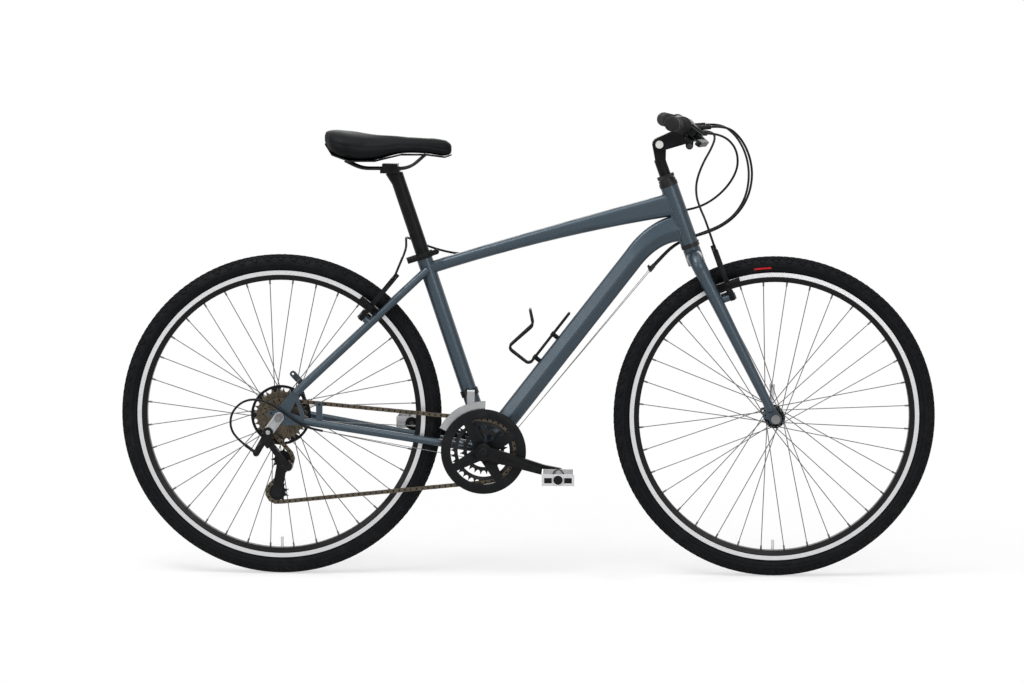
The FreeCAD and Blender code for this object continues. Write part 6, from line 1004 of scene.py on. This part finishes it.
@dataclass
class Saddle:
    """The padded saddle top: swollen by pressure, then sunk along its seams and channel."""

    back: float = -0.443
    front: float = -0.168
    stations: Sequence[tuple[float, float, float, float]] = (
        (0.0, 41, 975, 947.7), (0.06, 70.5, 978, 924.6), (0.2, 82, 972.8, 911.2), (0.4, 64, 964.5, 911.2),
        (0.6, 39.1, 963, 924.6), (0.8, 28.9, 961.2, 924.6), (0.95, 22, 957, 919.5), (1.0, 12.1, 948, 924.6))
    rows: int = 44
    ring: int = 36
    shrink: float = 0.0022
    cap: float = 0.004
    seam_depth: float = 0.0011
    seam_width: float = 0.0018
    channel_depth: float = 0.0045
    channel_width: float = 0.0085

    def station(self, share: float) -> tuple[float, float, float]:
        """Return the half width, top and bottom in metres at a share from the back, smoothly between stations."""
        rows = self.stations
        spot = max(i for i in range(len(rows) - 1) if rows[i][0] <= share)
        around = [rows[min(max(spot + step, 0), len(rows) - 1)] for step in (-1, 0, 1, 2)]
        (x0, *a), (x1, *b), (x2, *c), (x3, *d) = around
        t = (share - x1) / (x2 - x1)
        found = []
        for p, q, r, s in zip(a, b, c, d):
            before = (r - p) / (x2 - x0) * (x2 - x1)
            after = (s - q) / (x3 - x1) * (x2 - x1)
            found.append(((2 * t ** 3 - 3 * t ** 2 + 1) * q + (t ** 3 - 2 * t ** 2 + t) * before
                          + (3 * t ** 2 - 2 * t ** 3) * r + (t ** 3 - t ** 2) * after) * MM)
        return found[0], found[1], found[2]

    def shell(self) -> bpy.types.Mesh:
        """Return the closed form before it swells."""
        points, faces = [], []
        for row in range(self.rows + 1):
            share = (1 - math.cos(math.pi * row / self.rows)) / 2
            half, top, bottom = self.station(share)
            half, top, bottom = half - self.shrink, top - self.shrink, bottom + self.shrink * 0.5
            rise = top - bottom
            for step in range(self.ring):
                angle = 2 * math.pi * step / self.ring
                side, up = math.sin(angle), -math.cos(angle)
                wide = math.copysign(abs(side) ** 0.62, side)
                high = math.copysign(abs(up) ** (0.85 if up > 0 else 0.55), up)
                level = bottom + rise * (0.42 + (0.58 if high > 0 else 0.42) * high)
                points.append(Vector((self.back + (self.front - self.back) * share, half * wide, level)))
            if row:
                near, far = (row - 1) * self.ring, row * self.ring
                faces += [(near + s, far + s, far + (s + 1) % self.ring, near + (s + 1) % self.ring)
                          for s in range(self.ring)]
        faces += [tuple(range(self.ring)), tuple(self.rows * self.ring + s for s in range(self.ring))]
        return mesh_of("saddle_shell", points, faces)

    def swell(self, made: bpy.types.Object) -> bpy.types.Mesh:
        """Blow the form up a little as foam under a tight skin, its lower edge held.

        Args:
            made: The closed form, which is used up.

        Returns:
            The swollen mesh.
        """
        remesh = made.modifiers.new("even", "REMESH")
        remesh.mode, remesh.voxel_size = "VOXEL", 0.0045
        mesh = evaluated(made, "saddle_even")
        even = piece("saddle_even", mesh, bpy.data.materials["seat_skin"])
        held = even.vertex_groups.new(name="held")
        for vertex in mesh.vertices:
            share = (vertex.co.x - self.back) / (self.front - self.back)
            bottom = self.station(min(max(share, 0.0), 1.0))[2]
            held.add([vertex.index], 1.0 if vertex.co.z < bottom + 0.008 else 0.0, "REPLACE")
        rest = [v.co.copy() for v in mesh.vertices]
        cloth = even.modifiers.new("skin", "CLOTH")
        cloth.settings.use_pressure = True
        cloth.settings.uniform_pressure_force = 4.0
        cloth.settings.vertex_group_mass = "held"
        cloth.settings.quality = 4
        cloth.settings.effector_weights.gravity = 0.0
        scene = bpy.context.scene
        for step in range(1, 17):
            scene.frame_set(step)
        graph = bpy.context.evaluated_depsgraph_get()
        moved = [v.co.copy() for v in even.evaluated_get(graph).data.vertices]
        even.modifiers.remove(cloth)
        scene.frame_set(1)
        for vertex, before, after in zip(mesh.vertices, rest, moved):
            move = after - before
            if move.length > self.cap:
                move *= self.cap / move.length
            vertex.co = before + move
        smooth = even.modifiers.new("smooth", "SUBSURF")
        smooth.levels = smooth.render_levels = 1
        return evaluated(even, "saddle_top")

    def seam_height(self, share: float) -> float:
        """Return the height of the side seam at a share from the back."""
        _, top, bottom = self.station(share)
        return bottom + (top - bottom) * (0.50 - 0.10 * share + 0.06 * math.sin(math.pi * share))

    def sink(self, mesh: bpy.types.Mesh) -> None:
        """Press the side seams and the channel along the top into the skin."""
        for vertex in mesh.vertices:
            spot = vertex.co
            share = min(max((spot.x - self.back) / (self.front - self.back), 0.0), 1.0)
            half, top, bottom = self.station(share)
            off = spot.z - self.seam_height(share)
            if abs(spot.y) > 0.4 * half:
                depth = self.seam_depth * math.exp(-(off / self.seam_width) ** 2)
                spot.y -= math.copysign(depth, spot.y)
            if spot.z > bottom + 0.55 * (top - bottom):
                run = math.sin(math.pi * min(max((share - 0.12) / 0.72, 0.0), 1.0)) ** 0.6
                spot.z -= self.channel_depth * run * math.exp(-(spot.y / self.channel_width) ** 2)

    def build(self, finishes: Finishes) -> None:
        mesh = self.swell(piece("saddle_shell", self.shell(), finishes.skin))
        self.sink(mesh)
        for face in mesh.polygons:
            face.use_smooth = True
        made = piece("saddle_top", mesh, finishes.skin)
        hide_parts("saddle_cover")
        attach(made, Body.SEAT.value)
        LOG.info("saddle_top: %d points", len(made.data.vertices))


# Frame details
@dataclass
class Welds:
    """Beads round the frame's tube joints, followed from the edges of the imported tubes."""

    bead: float = 0.0024
    step: float = 0.0026
    head_radius: float = 0.0195

    def loop(self, centre: Vector, axis: Vector, radius: float, around: Vector, along: Vector,
             reach: tuple[float, float]) -> list[Vector]:
        """Return the outer edge of a tube where it meets a round tube.

        Args:
            centre: Point on the round tube's axis.
            axis: Its direction.
            radius: Its radius.
            around: Point on the meeting tube's axis.
            along: The meeting tube's direction.
            reach: Lowest and highest distance of the edge from the meeting tube's axis.

        Returns:
            Points in order round the joint.
        """
        spots: dict[int, tuple[float, Vector]] = {}
        side = axis.cross(along).normalized()
        up = along.cross(side).normalized()
        for vertex in frame["nodes"]["main_frame"].data.vertices:
            off = vertex.co - centre
            if abs((off - axis * off.dot(axis)).length - radius) > 0.00012:
                continue
            flat = vertex.co - around
            flat = Vector((flat.dot(side), flat.dot(up)))
            if not reach[0] < flat.length < reach[1]:
                continue
            sector = int((math.atan2(flat.y, flat.x) + math.pi) / (2 * math.pi) * 40)
            if sector not in spots or flat.length > spots[sector][0]:
                spots[sector] = (flat.length, vertex.co.copy())
        return [spots[sector][1] for sector in sorted(spots)]

    def build(self, finishes: Finishes, beads: PathTree) -> None:
        """Lay the beads round the head and seat tube joints."""
        parts, along_head, along_seat = [], Vector((0.97, 0, 0.24)), Vector((0.966, 0, 0.26))
        joints = ((HEAD, STEER_UP, self.head_radius, Vector((0.3214, 0, 0.818)), along_head, (0.009, 0.032)),
                  (HEAD, STEER_UP, self.head_radius, Vector((0.3405, 0, 0.7654)), along_head, (0.009, 0.034)),
                  (BRACKET, SEAT_UP, SEAT_TUBE_RADIUS, Vector((-0.2196, 0, 0.674)), along_seat, (0.009, 0.022)))
        for index, (centre, axis, radius, around, along, reach) in enumerate(joints):
            path = self.loop(centre, axis.normalized(), radius, around, along.normalized(), reach)
            LOG.info("weld %d: %d points", index, len(path))
            if len(path) > 8:
                # The beads wear the lighter weld paint, a painted highlight on the beads.
                parts.append(beads.mesh(f"weld_{index}", path, True, finishes.weld, Step=self.step,
                                        Radius=self.bead, Thickness=0.7))
        if parts:
            fit("weld_beads", parts, finishes.weld, Body.FRAME)


@dataclass
class Wires:
    """Bare inner wire along the frame and between the brake arms, with the brakes' rubber boots."""

    radius: float = 0.0008
    runs: Sequence[tuple[Point, Point]] = (
        ((268, -5, 678), (-59.3, -5, 276.9)), ((270, 7, 674), (-59.3, 7, 276.9)),
        ((-110, -22, 256), (-445.7, -65.9, 321.9)), ((-119, -10, 255), (-134, -20, 400)))
    boots: Sequence[tuple[str, Body, Body, Point]] = (
        ("front", Body.FRONT_RIGHT_ARM, Body.FRONT_LEFT_ARM, (406.4, 0, 721.9)),
        ("rear", Body.REAR_RIGHT_ARM, Body.REAR_LEFT_ARM, (-290.6, 0, 655.7)))
    boot_radius: float = 0.0036
    boot_length: float = 0.030
    half: float = 0.029
    entry: float = 0.003

    def build(self, finishes: Finishes, rings: PathTree) -> None:
        """Make the wires and boots on their bodies."""
        lines = [rod("wire", Vector(a) * MM, Vector(b) * MM, self.radius, 0.0002, 10) for a, b in self.runs]
        fit("bare_wires", lines, finishes.steel, Body.FRAME)
        for end, boot_body, wire_body, spot in self.boots:
            middle, side = Vector(spot) * MM, Vector((0, 1, 0))
            start, stop = middle - side * self.half, middle - side * (self.half - self.boot_length)
            sleeve = [rod("boot", start, stop, self.boot_radius - 0.0004)]
            path = [start + (stop - start) * (0.12 + 0.76 * step / 9) for step in range(10)]
            sleeve.append(rings.mesh("boot_folds", path, False, finishes.grip, Step=0.0025,
                                     Radius=self.boot_radius - 0.0007, Thickness=0.0007))
            fit(end + "_brake_boot", sleeve, finishes.grip, boot_body)
            wire = rod("wire", stop - side * self.entry, middle + side * (self.half - 0.003), self.radius, 0.0002, 10)
            fit(end + "_brake_wire", [wire], finishes.steel, wire_body)


@dataclass
class Fittings:
    """Small fittings on the frame: cable guides, stops, ferrules and bolts."""

    guides: Sequence[Point] = ((190, 20.5, 783), (46, 20.5, 745.6), (-98, 21, 704))
    boss_heights: tuple[float, float] = (0.183, 0.247)

    def guide(self, spot: Point) -> list[bpy.types.Mesh]:
        """Return a clip round the housing with a foot on the top tube."""
        centre = Vector(spot) * MM
        along = Vector((0.966, 0, 0.259))
        half = [(0.0026, 0.005), (0.0042, 0.005), (0.0046, 0.0042)]
        clip = [(radius, -across) for radius, across in half] + half[::-1]
        foot = rod("guide_foot", centre + Vector((0, -0.0035, 0)), centre + Vector((0, -0.0075, 0)), 0.0034)
        return [lathe("guide_clip", clip, centre, along, 24), foot]

    def build(self, finishes: Finishes) -> None:
        """Make the fittings on the frame."""
        guides = [mesh for spot in self.guides for mesh in self.guide(spot)]
        fit("cable_guides", guides, finishes.paint, Body.FRAME)
        out = Vector((SEAT_UP.z, 0, -SEAT_UP.x))
        foot = BRACKET + out * (SEAT_TUBE_RADIUS - 0.0006)
        bolts = [dome("boss_bolt", foot + SEAT_UP * height, out, 0.0047, 0.0034, 0.002) for height in self.boss_heights]
        fit("boss_bolts", bolts, finishes.black_steel, Body.FRAME)
        stops = []
        along = Vector((0.6115, 0, 0.7912))
        for route in (REAR_SHIFT_ROUTE, FRONT_SHIFT_ROUTE):
            before, end = (Vector(spot) * MM for spot in route[-2:])
            back = (before - end).normalized()
            stops.append(rod("stop", end - along * 0.006, end + back * 0.010, 0.0034))
            stops.append(rod("stop_foot", end, end + Vector((-0.7912, 0, 0.6115)) * 0.008, 0.0030))
        fit("shift_stops", stops, finishes.black_steel, Body.FRAME)
        LOG.info("fittings: guides, bolts and stops")


@dataclass
class ChainWaistShade:
    """Dark ovals of painted shade at the waists in the middle of the chain's side plates."""

    length: float = 0.0034
    height: float = 0.0058
    lift: float = 0.00015
    sides: int = 10

    def links(self) -> list[tuple[Vector, Vector]]:
        """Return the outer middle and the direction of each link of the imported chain."""
        mesh = bmesh.new()
        mesh.from_mesh(frame["nodes"]["chain"].data)
        bmesh.ops.remove_doubles(mesh, verts=mesh.verts, dist=1e-6)
        left, found = set(mesh.verts), []
        while left:
            island, edge = set(), [left.pop()]
            while edge:
                vertex = edge.pop()
                island.add(vertex)
                near = {e.other_vert(vertex) for e in vertex.link_edges} & left
                left -= near
                edge += near
            spots = [vertex.co for vertex in island]
            low, high = (Vector(pick(c[axis] for c in spots) for axis in range(3)) for pick in (min, max))
            middle = (low + high) / 2
            far = max(spots, key=lambda spot: (spot.x - middle.x) ** 2 + (spot.z - middle.z) ** 2)
            along = Vector((far.x - middle.x, 0, far.z - middle.z)).normalized()
            found.append((Vector((middle.x, low.y, middle.z)), along))
        mesh.free()
        return found

    def build(self, finishes: Finishes) -> None:
        """Lay one flat dark oval of painted shade on each link."""
        marks = []
        for middle, along in self.links():
            up = Vector((-along.z, 0, along.x))
            turns = [2 * math.pi * step / self.sides for step in range(self.sides)]
            ring = [middle + along * (self.length / 2 * math.cos(turn)) + up * (self.height / 2 * math.sin(turn))
                    - Vector((0, self.lift, 0)) for turn in turns]
            base = [spot + Vector((0, 2 * self.lift, 0)) for spot in ring]
            walls = [(i, i + self.sides, (i + 1) % self.sides + self.sides, (i + 1) % self.sides)
                     for i in range(self.sides)]
            faces = [tuple(range(self.sides)), *walls]
            marks.append(mesh_of("painted_shade_oval", ring + base, faces))
        # Painted shade: black ovals on the bronze links.
        fit("chain_waist_painted_shade", marks, finishes.gloss, Body.FRAME)
        LOG.info("chain: %d links", len(marks))


@dataclass
class Pedals:
    """Teeth, end rings, caps and dark side windows of painted shade on both pedals, and the caps of the crank bolts."""

    near: float = 0.087
    far: float = 0.179
    depth: float = 0.070
    height: float = 0.025
    teeth_in_row: int = 18
    face: float = 0.081

    def teeth(self, axle: Vector, side: Side) -> list[bpy.types.Mesh]:
        """Return small pointed teeth along the long edges of the cage."""
        parts, count = [], self.teeth_in_row
        for fore in (-1, 1):
            for up in (-1, 1):
                for step in range(count):
                    along = self.near + 0.006 + (self.far - self.near - 0.012) * step / (count - 1)
                    foot = Vector((axle.x + fore * (self.depth / 2 - 0.00125), side.value * along,
                                   axle.z + up * (self.height / 2 - 0.0004)))
                    points = [foot + Vector((dx, dy, 0)) for dx, dy in
                              ((-0.0011, -0.0018), (0.0011, -0.0018), (0.0011, 0.0018), (-0.0011, 0.0018))]
                    points += [foot + Vector((dx, 0, up * 0.0016)) for dx in (-0.0009, 0.0009)]
                    faces = [(0, 1, 2, 3), (0, 1, 5, 4), (3, 2, 5, 4), (0, 3, 4), (1, 2, 5)]
                    parts.append(mesh_of("tooth", points, faces, smooth=False))
        return parts

    def build(self, finishes: Finishes) -> None:
        """Dress both pedals and cap the crank bolts."""
        for side, body in ((Side.RIGHT, Body.PEDAL_RIGHT), (Side.LEFT, Body.PEDAL_LEFT)):
            axle = Vector(PEDAL_AXLES[side])
            out = Vector((0, side.value, 0))
            end = Vector((axle.x, side.value * self.far, axle.z))
            ring = [(0.0098, -0.001), (0.0124, -0.001), (0.0124, 0.0008), (0.0118, 0.0014), (0.0104, 0.0014),
                    (0.0098, 0.0008)]
            bright = self.teeth(axle, side) + [lathe("end_ring", ring, end, out, 36)]
            word = side.name.lower()
            fit(word + "_pedal_teeth", bright, finishes.silver, body)
            dark = [dome("cap", end - out * 0.001, out, 0.0096, 0.0022)]
            # Painted shade: thin black blocks stand in for the shaded openings of the side windows.
            dark += [block("painted_shade_window", end + Vector((fore * 0.0215, 0, -0.001)) - out * 0.0002, (0.0165, 0.0016, 0.0115))
                     for fore in (-1, 1)]
            fit(word + "_pedal_caps_and_window_shade", dark, finishes.plastic, body)
        caps = [dome("crank_cap", BRACKET + Vector((0, side.value * (self.face - 0.0005), 0)),
                     Vector((0, side.value, 0)), 0.0105, 0.0026) for side in Side]
        fit("crank_caps", caps, finishes.plastic, Body.CRANK)
        LOG.info("pedals: teeth, rings and caps")


class Machined:
    """Packed metal and plastic pieces that show rounded edges."""

    WIDTHS: dict[str, float] = {
        "crank_arms": 0.0014, "stem_arm": 0.0012, "control_pods": 0.0014, "chain_guard": 0.0007,
        "front_left_brake_arm": 0.0008, "front_right_brake_arm": 0.0008, "rear_left_brake_arm": 0.0008,
        "rear_right_brake_arm": 0.0008, "left_brake_lever": 0.0012, "right_brake_lever": 0.0012,
        "left_shift_lever": 0.001, "right_shift_lever": 0.001, "rear_derailleur_body": 0.001,
        "rear_derailleur_outer_link": 0.0008, "rear_derailleur_inner_link": 0.0008, "rear_derailleur_knuckle": 0.001,
        "seat_clamp": 0.0006, "seat_clamp_lever": 0.0009, "front_hub_lever": 0.0009, "derailleur_hanger": 0.0006}

    def build(self, finishes: Finishes) -> None:
        """Round each piece over and dress it."""
        table = finishes.by_node()
        for node, width in self.WIDTHS.items():
            made = softened(node, table[node], width)
            LOG.info("%s: %d faces", made.name, len(made.data.polygons))


# Studio
@dataclass
class Studio:
    """Pale floor, soft light and the camera."""

    eye: Point = (0.0975, -7.0, 1.1151)
    lens: float = 112.55
    turn: Point = (85.1035, -0.1829, 1.0979)
    reach: float = 14.0

    def camera(self) -> None:
        """Set the camera a little above the bike, almost square to its side."""
        data = bpy.data.cameras.new("camera")
        data.lens = self.lens
        data.sensor_width = 36.0
        made = bpy.data.objects.new("camera", data)
        made.location = self.eye
        made.rotation_euler = tuple(map(math.radians, self.turn))
        bpy.context.scene.collection.objects.link(made)
        bpy.context.scene.camera = made

    def light(self, name: str, place: Point, aim: Point, size: tuple[float, float], power: float) -> None:
        """Add one softbox.

        Args:
            name: Light name.
            place: Its centre.
            aim: Point it faces.
            size: Width and height in metres.
            power: Watts.
        """
        data = bpy.data.lights.new(name, "AREA")
        data.shape = "RECTANGLE"
        data.size, data.size_y = size
        data.energy = power
        made = bpy.data.objects.new(name, data)
        made.location = place
        made.rotation_euler = (Vector(aim) - Vector(place)).to_track_quat("-Z", "Y").to_euler()
        bpy.context.scene.collection.objects.link(made)

    def white_for_eye(self, tree: bpy.types.NodeTree) -> bpy.types.NodeSocket:
        """Return 1 for rays that show the backdrop: camera, glossy and transmission."""
        path = add_node(tree, "ShaderNodeLightPath").outputs
        total = path["Is Camera Ray"]
        for name in ("Is Glossy Ray", "Is Transmission Ray"):
            total = add_node(tree, "ShaderNodeMath", {0: total, 1: path[name]}, operation="MAXIMUM").outputs[0]
        return total

    def world(self) -> None:
        """White where it is seen, softer where it lights."""
        world = bpy.data.worlds.new("studio")
        bpy.context.scene.world = world
        world.use_nodes = True
        tree = world.node_tree
        base = tree.nodes["Background"]
        base.inputs["Color"].default_value = (1, 1, 1, 1)
        base.inputs["Strength"].default_value = 0.34
        seen = add_node(tree, "ShaderNodeBackground", {"Color": (1, 1, 1, 1)})
        mix = add_node(tree, "ShaderNodeMixShader", {0: self.white_for_eye(tree), 1: base.outputs[0],
                                                     2: seen.outputs[0]})
        tree.links.new(mix.outputs[0], tree.nodes["World Output"].inputs["Surface"])

    def floor(self) -> None:
        """Lay a pale floor that keeps the shadow and fades to white far off."""
        corners = [Vector((x * self.reach, y * self.reach, -0.0005)) for x, y in ((-1, -1), (1, -1), (1, 1), (-1, 1))]
        mesh = mesh_of("floor", corners, [(0, 1, 2, 3)])
        shader = Shader("floor_paper")
        spot = shader.place()
        shader.drive("Base Color", shader.blend(shader.noise(spot, 9.0), (0.90, 0.90, 0.90), (0.94, 0.94, 0.94)))
        shader.fix(Roughness=0.9, Specular_IOR_Level=0.1)
        shader.bump(shader.noise(spot, 300.0), 0.0002, 0.1)
        far = shader.add("VectorMath", {0: spot}, operation="LENGTH").outputs["Value"]
        share = shader.remap(far, 0.7, 1.6, 0.55, 1.0)
        white = shader.add("Emission").outputs[0]
        total = shader.math("MULTIPLY", share, self.white_for_eye(shader.tree))
        mix = shader.add("MixShader", {0: total, 1: shader.surface.outputs[0], 2: white})
        shader.tree.links.new(mix.outputs[0], shader.tree.nodes["Material Output"].inputs["Surface"])
        piece("floor", mesh, shader.material)

    def build(self) -> None:
        """Set up the whole studio."""
        bpy.context.scene.view_settings.view_transform = "Standard"
        self.camera()
        self.world()
        self.floor()
        self.light("top_box", (0.1, -0.7, 3.4), (0.0, 0.0, 0.5), (3.4, 2.2), 60.0)
        self.light("front_box", (1.6, -3.4, 2.0), (0.1, 0.0, 0.5), (2.2, 1.8), 44.0)
        self.light("rear_box", (-2.6, -2.6, 1.6), (-0.1, 0.0, 0.5), (1.6, 1.6), 26.0)
        self.light("facet_box", (-1.5, -1.2, 2.9), (0.1, 0.0, 0.6), (1.3, 1.0), 34.0)
        self.light("back_box", (0.6, 3.0, 2.2), (0.0, 0.0, 0.5), (3.0, 1.6), 30.0)


def main() -> None:
    """Build and dress the bike in order."""
    logging.basicConfig(level=logging.INFO, format="%(message)s")
    Studio().build()
    finishes, repeat = Finishes(), Repeat()
    rings, beads = PathTree("rings_on_path", True), PathTree("beads_on_path", False)
    finishes.dress()
    Cables().build(finishes)
    Tyre("front_tyre_tread", "front_tyre", Body.FRONT_WHEEL, FRONT_AXLE, dash_angle=95.0).build(finishes, repeat)
    Tyre("rear_tyre_tread", "rear_tyre", Body.REAR_WHEEL, REAR_AXLE).build(finishes, repeat)
    Grips().build(finishes, rings)
    Saddle().build(finishes)
    Welds().build(finishes, beads)
    Wires().build(finishes, rings)
    Fittings().build(finishes)
    ChainWaistShade().build(finishes)
    Pedals().build(finishes)
    Machined().build(finishes)


if __name__ == "__main__":
    main()
